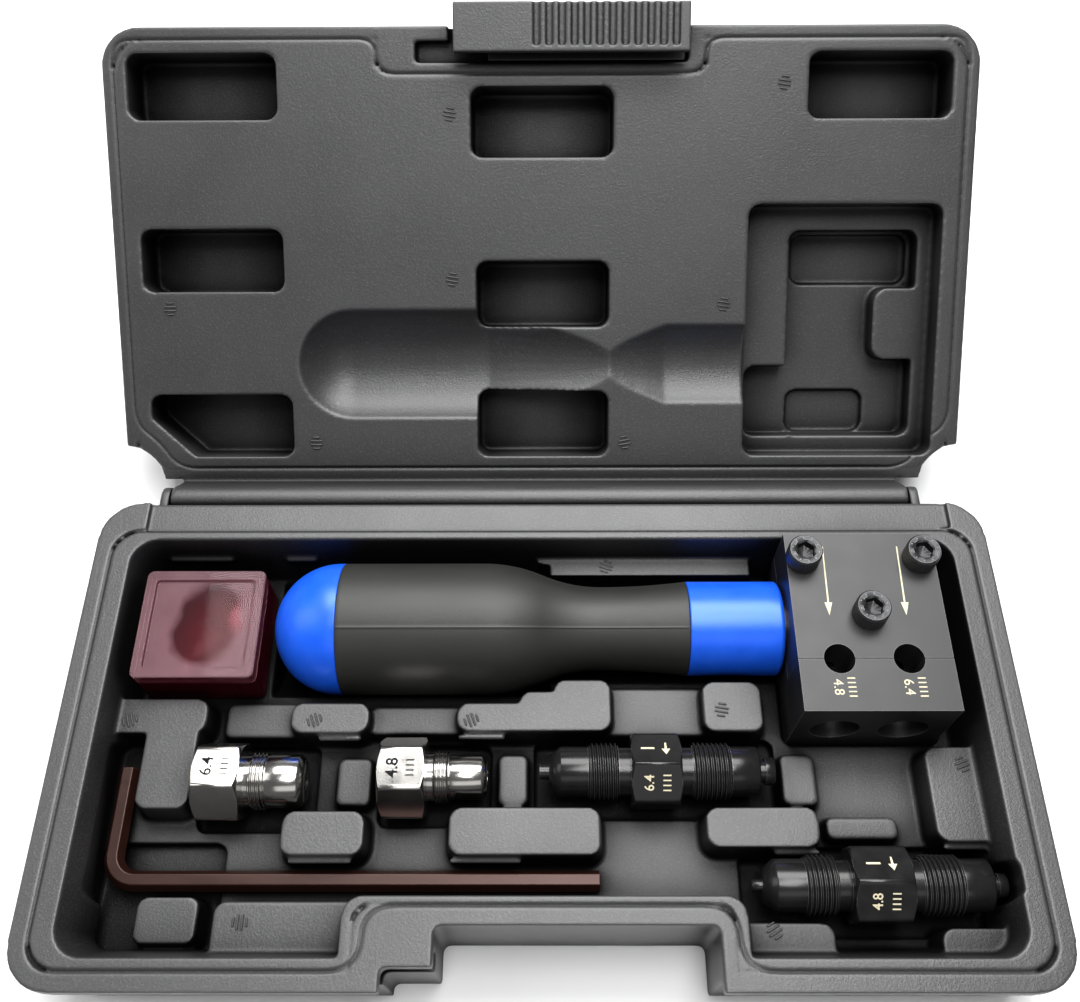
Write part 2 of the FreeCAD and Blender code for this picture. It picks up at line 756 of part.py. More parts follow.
def swing_open(item):
    """Turn an object that was made in the closed case about the hinge to the open angle."""
    item.Placement.Rotation = FreeCAD.Rotation(V(1, 0, 0), -DIMENSIONS["open_angle"])
    item.setExpression("Placement.Rotation.Angle", f"-{d.open_angle.text}")
    y, z, angle = d.hinge_y.text, f"({hinge_z.text})", d.open_angle.text
    item.setExpression("Placement.Base.y", f"{y} - {y} * cos({angle}) - {z} * sin({angle})")
    item.setExpression("Placement.Base.z", f"{z} + {y} * sin({angle}) - {z} * cos({angle})")


# ---------------------------------------------------------------- latch

def make_latch():
    """Sliding latch: a channel with finger flutes and a hook that rides in the lid's track."""
    body = new_body("case_latch")
    bottom = rim - d.latch_reach
    wall = body_sketch(body, "latch_channel", "YZ_Plane", d.latch_left)
    polygon(wall, [
        (d.latch_front, bottom),
        (d.latch_back, bottom),
        (d.latch_back, bottom + d.latch_flange),
        (d.latch_front + 3, bottom + d.latch_flange),
        (d.latch_front + 3, rim + 9),
        (d.latch_front, rim + 9),
    ])
    pad(body, wall, d.latch_right - d.latch_left, "latch_channel_pad")
    hook = body_sketch(body, "latch_hook", "YZ_Plane", d.latch_left + 10)
    polygon(hook, [
        (d.latch_front + 1, lid_floor + 0.35),
        (d.track_back - 0.4, lid_floor + 0.35),
        (d.track_back - 0.4, lid_floor + d.track_lip + 0.2),
        (d.track_undercut - 0.3, lid_floor + d.track_lip + 0.2),
        (d.track_undercut - 0.3, lid_floor + d.track_height - 0.3),
        (d.latch_front + 1, lid_floor + d.track_height - 0.3),
    ])
    pad(body, hook, d.latch_right - d.latch_left - 10.6, "latch_hook_pad")
    flute = body_sketch(body, "latch_flute", "XY_Plane", bottom)
    start = d.latch_right - 4.2 - d.flute_pitch * (d.flute_count - 1)
    rounded(flute, start - d.flute_width / 2, d.latch_front - 2, start + d.flute_width / 2,
            d.latch_back - 1.6, d.flute_width * 0.45)
    groove = pocket(body, flute, d.flute_depth, "latch_flute_cut", reverse=True)
    body.Tip = groove
    pattern = body.newObject("PartDesign::LinearPattern", "latch_flutes")
    pattern.Originals = [groove]
    pattern.Direction = (flute, ["H_Axis"])
    bind(pattern, "Length", d.flute_pitch * (d.flute_count - 1))
    pattern.Occurrences = DIMENSIONS["flute_count"]
    body.Tip = pattern
    swing_open(body)
    return body


def make_hinge_pin():
    """Steel wire through the lid barrel, pressed into the two lugs of the base."""
    pin = rod_x("hinge_pin", d.hinge_left - 0.4 - d.lug_width, d.hinge_right + 0.4 + d.lug_width,
                d.hinge_y, hinge_z, d.pin_radius)
    pin.Label = "hinge_pin"
    return pin


# ---------------------------------------------------------------- clamping die

BORES = ((d.small_bore_x, d.small_tube / 2), (d.large_bore_x, d.large_tube / 2))

# How far the socket of each clamp screw is turned, degrees.
SOCKET_TURNS = {"left": 23.0, "right": 8.0, "front": 12.0}


def screw_places():
    """Where the three clamp screws stand on the die, from its own corner."""
    return {
        "left": (d.screw_side, d.screw_back_y),
        "right": (d.die_width - d.screw_side, d.screw_back_y),
        "front": (d.die_width / 2, d.screw_mid_y),
    }


def bore_die(body, tag):
    """The windows and tube bores that both halves of the die share."""
    windows = body_sketch(body, tag + "_windows", "XY_Plane", d.die_height)
    tubes = body_sketch(body, tag + "_tubes", "XZ_Plane")
    for x, radius in BORES:
        circle(windows, x, d.die_front_wall, d.window_radius)
        circle(tubes, x, d.die_split, radius)
    pocket(body, windows, d.die_height - d.window_floor, tag + "_window_cut")
    pocket(body, tubes, d.die_depth + 1, tag + "_tube_cut")


def make_die_body():
    """Lower half of the die with the full-height front wall."""
    body = new_body("die_body")
    base = body_sketch(body, "die_base")
    polygon(base, [(0, 0), (d.die_width, 0), (d.die_width, d.die_depth), (0, d.die_depth)])
    pad(body, base, d.die_split, "die_base_pad")
    front = body_sketch(body, "die_front")
    polygon(front, [(0, 0), (d.die_width, 0), (d.die_width, d.die_front_wall), (0, d.die_front_wall)])
    pad(body, front, d.die_height, "die_front_pad")
    bore_die(body, "die_body")
    ports = body_sketch(body, "die_ports", "XZ_Plane")
    for x, _ in BORES:
        circle(ports, x, d.die_split, d.port_radius)
    pocket(body, ports, d.die_front_wall, "die_port_cut")
    screws = body_sketch(body, "die_screw_holes", "XY_Plane", d.die_split)
    for x, y in screw_places().values():
        circle(screws, x, y, d.screw_radius + 0.06)
    pocket(body, screws, quantity(15), "die_screw_cut")
    stud = body_sketch(body, "die_stud_hole", "YZ_Plane")
    circle(stud, d.handle_y - d.die_y, d.handle_z - d.die_z, d.stud_radius + 0.05)
    pocket(body, stud, d.stud_length + 1, "die_stud_cut", reverse=True)
    place(body, d.die_x, d.die_y, d.die_z)
    return body


def make_clamp_plate():
    """Upper half of the die, drawn down on the tube by the three screws."""
    body = new_body("clamp_plate")
    floor = d.die_split + d.die_gap
    outline = body_sketch(body, "clamp_outline", "XY_Plane", floor)
    front = d.die_front_wall + d.die_gap
    polygon(outline, [(0, front), (d.die_width, front), (d.die_width, d.die_depth), (0, d.die_depth)])
    pad(body, outline, d.die_height - floor, "clamp_pad")
    bore_die(body, "clamp")
    screws = body_sketch(body, "clamp_screw_holes", "XY_Plane", d.die_height)
    for x, y in screw_places().values():
        circle(screws, x, y, d.screw_radius + 0.06)
    pocket(body, screws, d.die_height, "clamp_screw_cut")
    place(body, d.die_x, d.die_y, d.die_z)
    return body


def make_clamp_screw(side, x, y):
    """M6 socket head cap screw standing on the clamp plate."""
    body = new_body(f"clamp_screw_{side}")
    profile = body_sketch(body, f"screw_{side}_profile", "XZ_Plane")
    edge = quantity(0.5)
    polygon(profile, [
        (0, -d.screw_grip),
        (d.screw_radius - 0.8, -d.screw_grip),
        (d.screw_radius, 0.8 - d.screw_grip),
        (d.screw_radius, 0),
        (d.screw_head_radius, 0),
        (d.screw_head_radius, d.screw_head_height - edge),
        (d.screw_head_radius - edge, d.screw_head_height),
        (0, d.screw_head_height),
    ])
    revolve(body, profile, f"screw_{side}_turned", axis="V_Axis")
    socket = body_sketch(body, f"screw_{side}_socket", "XY_Plane", d.screw_head_height)
    polygon(socket, hexagon_points(quantity(0), quantity(0), d.socket_flats, SOCKET_TURNS[side]))
    pocket(body, socket, d.socket_depth, f"screw_{side}_socket_cut")
    place(body, d.die_x + x, d.die_y + y, d.die_z + d.die_height + 0.02)
    return body


# ---------------------------------------------------------------- handle

def turned_body(name, points):
    """A body turned about X from an outline of straight lines."""
    body = new_body(name)
    profile = body_sketch(body, name + "_profile")
    polygon(profile, points)
    revolve(body, profile, name + "_turned")
    return body


def place_on_handle(body):
    """Put a handle part on the handle's axis."""
    place(body, d.handle_x, d.handle_y, d.handle_z)


def make_handle_rod():
    """Core rod with a shoulder and the stud that screws into the die."""
    shoulder = d.die_x - d.handle_x - 0.1
    body = turned_body("handle_rod", [
        (d.rod_start, 0),
        (d.rod_start, d.rod_radius),
        (d.ferrule_end, d.rod_radius),
        (d.ferrule_end, d.rod_radius + 3.5),
        (shoulder, d.rod_radius + 3.5),
        (shoulder, d.stud_radius),
        (shoulder + d.stud_length, d.stud_radius),
        (shoulder + d.stud_length, 0),
    ])
    place_on_handle(body)
    return body


def make_handle_cap():
    """Domed end cap."""
    body = new_body("handle_cap")
    sketch = body_sketch(body, "cap_profile")
    r, length = DIMENSIONS["grip_radius"], DIMENSIONS["cap_length"]
    rod, start = DIMENSIONS["rod_radius"], DIMENSIONS["rod_start"]
    dome = Part.ArcOfCircle(Part.Circle(V(r, 0, 0), V(0, 0, 1), r), math.pi / 2, math.pi)
    sketch.addGeometry(dome, False)
    corners = [(0, 0), (start, 0), (start, rod), (length, rod), (length, r), (r, r)]
    for p, q in zip(corners, corners[1:]):
        sketch.addGeometry(Part.LineSegment(V(*p, 0), V(*q, 0)), False)
    sketch.addConstraint(Sketcher.Constraint("Coincident", 0, 2, 1, 1))
    for i in range(1, 5):
        sketch.addConstraint(Sketcher.Constraint("Coincident", i, 2, i + 1, 1))
    sketch.addConstraint(Sketcher.Constraint("Coincident", 5, 2, 0, 1))
    fix_point(sketch, 0, 3, d.grip_radius, 0)
    fix_point(sketch, 0, 2, 0, 0)
    index = sketch.addConstraint(Sketcher.Constraint("DistanceX", -1, 1, 0, 1, r))
    sketch.setExpression(f"Constraints[{index}]", d.grip_radius.text)
    fix_point(sketch, 2, 1, d.rod_start, 0)
    fix_point(sketch, 3, 1, d.rod_start, d.rod_radius)
    fix_point(sketch, 4, 1, d.cap_length, d.rod_radius)
    fix_point(sketch, 5, 1, d.cap_length, d.grip_radius)
    revolve(body, sketch, "cap_turned")
    place_on_handle(body)
    return body


def sweep_radius(rise, run):
    """Radius of two equal arcs that join two parallel lines smoothly."""
    return (rise * rise + run * run) / (4 * rise)


def make_handle_grip():
    """Rubber grip: full at the back, waisted before the ferrule."""
    body = new_body("handle_grip")
    sketch = body_sketch(body, "grip_profile")
    x0 = DIMENSIONS["cap_length"]
    x1 = x0 + DIMENSIONS["grip_straight"]
    x2, x3 = DIMENSIONS["neck_x"], DIMENSIONS["grip_end"]
    r1, r2 = DIMENSIONS["grip_radius"], DIMENSIONS["neck_radius"]
    r3, rod = DIMENSIONS["ferrule_radius"], DIMENSIONS["rod_radius"]
    bend = sweep_radius(r1 - r2, x2 - x1)
    middle_x, middle_r = (x1 + x2) / 2, (r1 + r2) / 2
    flare = ((x3 - x2) ** 2 + (r3 - r2) ** 2) / (2 * (r3 - r2))
    half = math.asin((middle_x - x1) / bend)
    sketch.addGeometry(Part.LineSegment(V(x0, r1, 0), V(x1, r1, 0)), False)
    shoulder = Part.Circle(V(x1, r1 - bend, 0), V(0, 0, 1), bend)
    sketch.addGeometry(Part.ArcOfCircle(shoulder, math.pi / 2 - half, math.pi / 2), False)
    waist = Part.Circle(V(x2, r2 + bend, 0), V(0, 0, 1), bend)
    sketch.addGeometry(Part.ArcOfCircle(waist, 1.5 * math.pi - half, 1.5 * math.pi), False)
    mouth = Part.Circle(V(x2, r2 + flare, 0), V(0, 0, 1), flare)
    turn = math.asin((x3 - x2) / flare)
    sketch.addGeometry(Part.ArcOfCircle(mouth, 1.5 * math.pi, 1.5 * math.pi + turn), False)
    sketch.addGeometry(Part.LineSegment(V(x3, r3, 0), V(x3, rod, 0)), False)
    sketch.addGeometry(Part.LineSegment(V(x3, rod, 0), V(x0, rod, 0)), False)
    sketch.addGeometry(Part.LineSegment(V(x0, rod, 0), V(x0, r1, 0)), False)
    sketch.addConstraint(Sketcher.Constraint("Tangent", 0, 2, 1, 2))
    sketch.addConstraint(Sketcher.Constraint("Tangent", 1, 1, 2, 1))
    sketch.addConstraint(Sketcher.Constraint("Tangent", 2, 2, 3, 1))
    sketch.addConstraint(Sketcher.Constraint("Equal", 1, 2))
    sketch.addConstraint(Sketcher.Constraint("Vertical", 2, 3, 2, 2))
    for i in range(3, 6):
        sketch.addConstraint(Sketcher.Constraint("Coincident", i, 2, i + 1, 1))
    sketch.addConstraint(Sketcher.Constraint("Coincident", 6, 2, 0, 1))
    sketch.addConstraint(Sketcher.Constraint("Horizontal", 0))
    fix_point(sketch, 0, 1, d.cap_length, d.grip_radius)
    index = sketch.addConstraint(Sketcher.Constraint("DistanceX", -1, 1, 0, 2, x1))
    sketch.setExpression(f"Constraints[{index}]", (d.cap_length + d.grip_straight).text)
    fix_point(sketch, 2, 2, d.neck_x, d.neck_radius)
    fix_point(sketch, 3, 2, d.grip_end, d.ferrule_radius)
    fix_point(sketch, 4, 2, d.grip_end, d.rod_radius)
    fix_point(sketch, 5, 2, d.cap_length, d.rod_radius)
    revolve(body, sketch, "grip_turned")
    place_on_handle(body)
    return body


def make_handle_ferrule():
    """Front collar of the handle."""
    edge = quantity(0.8)
    body = turned_body("handle_ferrule", [
        (d.grip_end, d.rod_radius),
        (d.grip_end, d.ferrule_radius),
        (d.ferrule_end - edge, d.ferrule_radius),
        (d.ferrule_end, d.ferrule_radius - edge),
        (d.ferrule_end, d.rod_radius),
    ])
    place_on_handle(body)
    return body


# ---------------------------------------------------------------- stops, punches, key

def hex_collar(body, tag, start, length, flats, ridge):
    """A hexagon across the axis with turned chamfers at both ends; ridge leans from the top to the front."""
    outline = body_sketch(body, tag + "_hexagon", "YZ_Plane", start)
    polygon(outline, hexagon_points(quantity(0), quantity(0), flats, 90.0 + ridge))
    pad(body, outline, length, tag + "_hexagon_pad")
    inner = quantity(flats) * 0.5
    outer = quantity(flats) * 0.62
    slope = (outer - inner) * 0.577
    bevels = body_sketch(body, tag + "_bevels")
    polygon(bevels, [(start - 0.2, inner), (start + slope, outer), (start - 0.2, outer)])
    first = revolve(body, bevels, tag + "_bevel_cut", groove=True)
    ends = body_sketch(body, tag + "_bevels_end")
    end = start + length
    polygon(ends, [(end + 0.2, inner), (end + 0.2, outer), (end - slope, outer)])
    second = revolve(body, ends, tag + "_bevel_end_cut", groove=True)
    return first, second


def make_stop(name, thread, pilot, ridge, x, y, z):
    """Depth stop: hexagon, threaded neck and a plain pilot."""
    neck_end = d.stop_hexagon + d.stop_neck
    thread_end = neck_end + d.stop_thread
    pilot_end = thread_end + d.stop_pilot
    body = turned_body(name, [
        (0.5, 0),
        (0.5, d.relief_radius),
        (neck_end, d.relief_radius),
        (neck_end, thread),
        (thread_end, thread),
        (thread_end, pilot),
        (pilot_end, pilot),
        (pilot_end + d.stop_point, pilot - 1.4),
        (pilot_end + d.stop_point, 0),
    ])
    hex_collar(body, name, quantity(0), d.stop_hexagon, d.stop_flats, ridge)
    place(body, x, y, z)
    return body


def make_punch(name, nib, hexagon, ridge, x, y, z):
    """Double-ended flaring punch: a nib and pilot at each end of a threaded hexagon."""
    pilot, edge = d.punch_pilot_radius, 0.8
    back = d.punch_hexagon + hexagon
    body = turned_body(name, [
        (0, 0),
        (0, nib - 0.3),
        (0.3, nib),
        (d.nib_end, nib),
        (d.nib_end, pilot - 2.7),
        (d.cone_end, pilot),
        (d.front_thread_start, pilot),
        (d.front_thread_start, d.thread_radius),
        (d.front_thread_end, d.thread_radius),
        (d.front_thread_end, d.relief_radius),
        (d.punch_hexagon + 0.5, d.relief_radius),
        (back - 0.5, d.relief_radius),
        (back + d.back_thread_start, d.relief_radius),
        (back + d.back_thread_start, d.thread_radius),
        (back + d.back_thread_end, d.thread_radius),
        (back + d.back_thread_end, pilot),
        (back + d.back_pilot_end - edge, pilot),
        (back + d.back_pilot_end, pilot - edge),
        (back + d.back_pilot_end, nib + 0.8),
        (back + d.back_neck_end, nib + 0.8),
        (back + d.back_neck_end, nib + 1.6),
        (back + d.back_end, nib + 1.6),
        (back + d.back_end, 0),
    ])
    hex_collar(body, name, d.punch_hexagon, hexagon, d.hex_flats, ridge)
    place(body, x, y, z)
    return body


def make_hex_key():
    """Bent hexagon key."""
    body = new_body("hex_key")
    path = body_sketch(body, "key_path")
    bend, long_arm, short_arm = DIMENSIONS["key_bend"], DIMENSIONS["key_long"], DIMENSIONS["key_short"]
    path.addGeometry(Part.LineSegment(V(long_arm, 0, 0), V(bend, 0, 0)), False)
    corner = Part.Circle(V(bend, bend, 0), V(0, 0, 1), bend)
    path.addGeometry(Part.ArcOfCircle(corner, math.pi, 1.5 * math.pi), False)
    path.addGeometry(Part.LineSegment(V(0, bend, 0), V(0, short_arm, 0)), False)
    path.addConstraint(Sketcher.Constraint("Tangent", 0, 2, 1, 2))
    path.addConstraint(Sketcher.Constraint("Tangent", 1, 1, 2, 1))
    path.addConstraint(Sketcher.Constraint("Horizontal", 0))
    path.addConstraint(Sketcher.Constraint("Vertical", 2))
    fix_point(path, 0, 1, d.key_long, 0)
    fix_point(path, 2, 2, 0, d.key_short)
    index = path.addConstraint(Sketcher.Constraint("Radius", 1, bend))
    path.setExpression(f"Constraints[{index}]", d.key_bend.text)
    section = body_sketch(body, "key_section", "YZ_Plane", d.key_long)
    polygon(section, hexagon_points(quantity(0), quantity(0), d.key_flats, 0.0))
    pipe = body.newObject("PartDesign::AdditivePipe", "key_pipe")
    pipe.Profile = section
    pipe.Spine = path
    place(body, d.key_x, d.key_y, low + d.key_flats / 2 + 0.12)
    return body


# ---------------------------------------------------------------- lubricant box

def make_box_base():
    """Lower shell of the small clear box."""
    body = new_body("lube_box_base")
    outer = body_sketch(body, "box_base_outer")
    rounded(outer, 0, 0.01, d.box_width, d.box_depth, d.box_corner)
    pad(body, outer, d.box_base_height, "box_base_pad")
    inner = body_sketch(body, "box_base_inner", "XY_Plane", d.box_base_height)
    rounded(inner, d.box_wall, d.box_wall, d.box_width - d.box_wall, d.box_depth - d.box_wall,
            d.box_corner - 0.9)
    pocket(body, inner, d.box_base_height - d.box_wall, "box_base_cut")
    place(body, d.box_x, d.box_y, low + 0.1)
    return body


def make_box_lid():
    """Upper shell of the small clear box, with a raised frame round a recessed window."""
    body = new_body("lube_box_lid")
    floor = d.box_base_height + d.box_gap
    top = floor + d.box_lid_height
    outer = body_sketch(body, "box_lid_outer", "XY_Plane", floor)
    rounded(outer, 0, 0.01, d.box_width, d.box_depth, d.box_corner)
    pad(body, outer, d.box_lid_height, "box_lid_pad")
    inner = body_sketch(body, "box_lid_inner", "XY_Plane", floor)
    rounded(inner, d.box_wall, d.box_wall, d.box_width - d.box_wall, d.box_depth - d.box_wall,
            d.box_corner - 0.9)
    pocket(body, inner, d.box_lid_height - 2.2, "box_lid_cut", reverse=True)
    window = body_sketch(body, "box_lid_window", "XY_Plane", top)
    rounded(window, quantity(3.2), quantity(3.2), d.box_width - 3.2, d.box_depth - 3.2, 1.0)
    pocket(body, window, quantity(1.0), "box_lid_window_cut")
    place(body, d.box_x, d.box_y, low + 0.1)
    return body


def make_lubricant():
    """The grease that fills the lower shell."""
    body = new_body("lubricant")
    fill = body_sketch(body, "lubricant_fill", "XY_Plane", d.box_wall + 0.05)
    inset = d.box_wall + 0.05
    rounded(fill, inset, inset, d.box_width - inset, d.box_depth - inset, d.box_corner - 0.95)
    pad(body, fill, d.box_base_height - d.box_wall - 2.0, "lubricant_pad")
    place(body, d.box_x, d.box_y, low + 0.1)
    return body


# ---------------------------------------------------------------- build and export

def check(item):
    """Stop on a failed object or a bad shape."""
    if "Invalid" in item.State or "Error" in item.State:
        raise RuntimeError(f"{item.Label}: state {item.State}")
    if item.Shape.isNull() or not item.Shape.isValid():
        raise RuntimeError(f"{item.Label}: bad shape")
    if len(item.Shape.Solids) != 1:
        raise RuntimeError(f"{item.Label}: {len(item.Shape.Solids)} solids")


def build():
    """Make every sub-part."""
    nodes = [make_base()]
    lid = make_lid()
    swing_open(lid)
    nodes += [lid, make_latch(), make_hinge_pin(), make_die_body(), make_clamp_plate()]
    for side, (x, y) in screw_places().items():
        nodes.append(make_clamp_screw(side, x, y))
    nodes += [make_handle_rod(), make_handle_cap(), make_handle_grip(), make_handle_ferrule()]
    stop_z = well + d.stop_flats / 2 + 0.9
    punch_z = well + d.hex_flats / math.sqrt(3.0) + 0.1
    nodes += [
        make_stop("stop_large", d.thread_radius, 7.3, 22.0, -96.0, -13.9, stop_z),
        make_stop("stop_small", 7.4, 6.1, 31.0, -45.0, -12.8, stop_z),
        make_punch("punch_large", 2.2, quantity(13.8), 4.7, -0.6, -11.3, punch_z),
        make_punch("punch_small", 1.6, quantity(15.6), 5.4, 56.3, -42.2, punch_z),
        make_hex_key(),
        make_box_base(),
        make_box_lid(),
        make_lubricant(),
    ]
    return nodes


nodes = build()
doc.recompute()
os.makedirs("parts", exist_ok=True)
for node in nodes:
    check(node)
for node in nodes:
    node.Shape.exportStep(f"parts/{node.Label}.step")
    size = node.Shape.BoundBox
    print(f"{node.Label:20s} {node.Shape.Volume / 1000:8.2f} cm3  {size.XLength:.1f} x {size.YLength:.1f} x "
          f"{size.ZLength:.1f}")
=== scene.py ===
"""Looks of the flaring tool kit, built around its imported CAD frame."""
import math

import bmesh
import bpy
import numpy as np
from mathutils import Matrix, Vector
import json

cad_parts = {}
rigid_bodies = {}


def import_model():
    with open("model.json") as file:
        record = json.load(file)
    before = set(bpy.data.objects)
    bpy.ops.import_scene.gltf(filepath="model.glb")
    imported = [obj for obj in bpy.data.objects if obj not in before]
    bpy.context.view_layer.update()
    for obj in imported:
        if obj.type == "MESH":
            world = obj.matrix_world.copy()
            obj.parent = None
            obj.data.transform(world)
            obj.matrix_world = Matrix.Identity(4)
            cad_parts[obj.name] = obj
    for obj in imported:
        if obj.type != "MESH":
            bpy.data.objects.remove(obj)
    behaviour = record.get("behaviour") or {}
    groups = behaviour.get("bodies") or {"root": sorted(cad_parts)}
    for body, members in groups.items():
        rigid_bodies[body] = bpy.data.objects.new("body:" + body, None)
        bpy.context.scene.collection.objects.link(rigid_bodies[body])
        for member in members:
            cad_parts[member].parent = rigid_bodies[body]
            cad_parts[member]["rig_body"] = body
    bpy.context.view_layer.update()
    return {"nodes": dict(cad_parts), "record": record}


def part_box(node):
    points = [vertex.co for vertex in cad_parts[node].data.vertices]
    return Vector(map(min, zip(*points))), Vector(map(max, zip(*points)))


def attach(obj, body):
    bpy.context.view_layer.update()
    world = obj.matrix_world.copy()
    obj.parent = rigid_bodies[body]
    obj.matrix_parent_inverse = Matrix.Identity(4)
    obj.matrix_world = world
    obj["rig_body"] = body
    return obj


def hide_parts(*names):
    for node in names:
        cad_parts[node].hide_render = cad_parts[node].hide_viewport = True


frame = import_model()

MM = 0.001
LID_OPEN = math.radians(140)


# ---------------------------------------------------------------- materials

class Material:
    """A node material with short calls for the parts that the finishes share."""

    def __init__(self, name, colour, roughness, metallic=0.0, **inputs):
        self.data = bpy.data.materials.new(name)
        self.data.use_nodes = True
        self.data.diffuse_color = (*colour, 1)
        self.tree = self.data.node_tree
        self.shader = self.tree.nodes["Principled BSDF"]
        self.set(**{"Base Color": (*colour, 1), "Roughness": roughness, "Metallic": metallic})
        self.set(**inputs)
        self.place = self.add("ShaderNodeTexCoord").outputs["Object"]

    def set(self, **inputs):
        for name, value in inputs.items():
            self.shader.inputs[name].default_value = value

    def add(self, kind, **values):
        """A new node; values set its inputs by name, links when they are sockets."""
        node = self.tree.nodes.new(kind)
        for name, value in values.items():
            self.feed(node.inputs[name], value)
        return node

    def feed(self, socket, value):
        if isinstance(value, bpy.types.NodeSocket):
            self.tree.links.new(value, socket)
        else:
            socket.default_value = value

    def stretched(self, x, y, z):
        """Object coordinates scaled along each axis."""
        return self.add("ShaderNodeMapping", Vector=self.place, Scale=(x, y, z)).outputs["Vector"]

    def noise(self, size, detail=2.0, roughness=0.5, vector=None):
        """Noise whose features are about size metres across."""
        node = self.add("ShaderNodeTexNoise", Vector=vector or self.place, Scale=1 / size, Detail=detail,
                        Roughness=roughness)
        return node.outputs["Fac"]

    def ramp(self, source, low, high, first=(0, 0, 0, 1), last=(1, 1, 1, 1)):
        """Map a value between two stops to two colours."""
        node = self.add("ShaderNodeValToRGB", Fac=source)
        for element, position, colour in zip(node.color_ramp.elements, (low, high), (first, last)):
            element.position = position
            element.color = colour
        return node.outputs["Color"]

    def range(self, source, low, high):
        """Map 0..1 to low..high."""
        return self.add("ShaderNodeMapRange", Value=source, **{"To Min": low, "To Max": high}).outputs["Result"]

    def mix(self, factor, first, second, kind="MIX"):
        """Mix two colours."""
        node = self.add("ShaderNodeMix")
        node.data_type = "RGBA"
        node.blend_type = kind
        sockets = [s for s in node.inputs if s.enabled]
        for socket, value in zip(sockets, (factor, first, second)):
            self.feed(socket, value)
        return next(s for s in node.outputs if s.enabled)

    def add_up(self, first, second, weight):
        """first + weight * second."""
        node = self.add("ShaderNodeMath")
        node.operation = "MULTIPLY_ADD"
        for socket, value in zip(node.inputs, (second, weight, first)):
            self.feed(socket, value)
        return node.outputs[0]

    def bump(self, height, depth, strength=1.0):
        """Feed a height of the given depth in metres to the surface."""
        node = self.add("ShaderNodeBump", Height=height, Distance=depth, Strength=strength)
        self.feed(self.shader.inputs["Normal"], node.outputs["Normal"])

    def colour_from(self, value):
        self.feed(self.shader.inputs["Base Color"], value)

    def roughness_from(self, value):
        self.feed(self.shader.inputs["Roughness"], value)

    def edge(self, sharp=0.56):
        """A mask of the convex edges of a dense mesh."""
        pointiness = self.add("ShaderNodeNewGeometry").outputs["Pointiness"]
        return self.ramp(pointiness, 0.5, sharp)

    def crevice(self):
        """A mask that is dark in the fine grooves of a dense mesh, used to paint shade into them."""
        pointiness = self.add("ShaderNodeNewGeometry").outputs["Pointiness"]
        return self.ramp(pointiness, 0.44, 0.485)

    def painted_hollow_shade(self, reach):
        """A mask that falls off in corners and hollows, used to paint shade there."""
        node = self.add("ShaderNodeAmbientOcclusion", Distance=reach)
        node.samples = 8
        return self.ramp(node.outputs["AO"], 0.42, 0.95)

    def worn_edge(self, radius):
        """A mask of the sharp edges of any mesh."""
        soft = self.add("ShaderNodeBevel", Radius=radius).outputs["Normal"]
        flat = self.add("ShaderNodeNewGeometry").outputs["Normal"]
        dot = self.add("ShaderNodeVectorMath")
        dot.operation = "DOT_PRODUCT"
        self.feed(dot.inputs[0], soft)
        self.feed(dot.inputs[1], flat)
        return self.ramp(dot.outputs["Value"], 0.9, 0.995, (1, 1, 1, 1), (0, 0, 0, 1))


def case_plastic():
    """Charcoal blow-moulded plastic: fine grain, faint flow marks, edges rubbed lighter, painted shade in its
    hollows and grooves.
    """
    m = Material("case_plastic", (0.024, 0.024, 0.025), 0.42)
    cloud = m.noise(0.03, 3)
    grain = m.noise(0.0006, 3, 0.6)
    dark = m.mix(cloud, (0.018, 0.018, 0.019, 1), (0.028, 0.028, 0.029, 1))
    speckled = m.mix(m.ramp(grain, 0.52, 0.75), dark, (0.05, 0.05, 0.051, 1))
    rubbed = m.mix(m.edge(0.6), speckled, (0.06, 0.06, 0.061, 1))
    # Painted shade: colour and sheen fall to near black in hollows and fine grooves.
    painted_light_level = m.mix(1.0, m.painted_hollow_shade(0.018), m.crevice(), "MULTIPLY")
    m.colour_from(m.mix(painted_light_level, (0.003, 0.003, 0.003, 1), rubbed))
    m.feed(m.shader.inputs["Specular IOR Level"], m.range(painted_light_level, 0.02, 0.66))
    m.roughness_from(m.range(cloud, 0.36, 0.5))
    flow = m.noise(0.004, 2, vector=m.stretched(1, 0.35, 1))
    m.bump(m.add_up(grain, flow, 0.5), 0.00014, 0.6)
    return m.data


def die_black():
    """Satin black oxide over ground steel."""
    m = Material("die_black", (0.014, 0.014, 0.015), 0.4, 0.2)
    cloud = m.noise(0.008, 4)
    ground = m.noise(0.0006, 3, vector=m.stretched(0.12, 1, 1))
    m.colour_from(m.mix(m.worn_edge(0.0004), m.mix(cloud, (0.011, 0.011, 0.012, 1), (0.02, 0.02, 0.021, 1)),
                        (0.09, 0.09, 0.09, 1)))
    m.roughness_from(m.range(cloud, 0.34, 0.48))
    m.bump(ground, 0.00002, 0.6)
    return m.data


def screw_black():
    """Black oxide on a socket screw, a little brighter than the die."""
    m = Material("screw_black", (0.03, 0.03, 0.032), 0.34, 0.7)
    cloud = m.noise(0.003, 3)
    m.colour_from(m.mix(m.worn_edge(0.0003), m.mix(cloud, (0.022, 0.022, 0.024, 1), (0.045, 0.045, 0.047, 1)),
                        (0.2, 0.2, 0.2, 1)))
    m.roughness_from(m.range(cloud, 0.3, 0.46))
    m.bump(m.noise(0.0004, 2), 0.00001, 0.5)
    return m.data


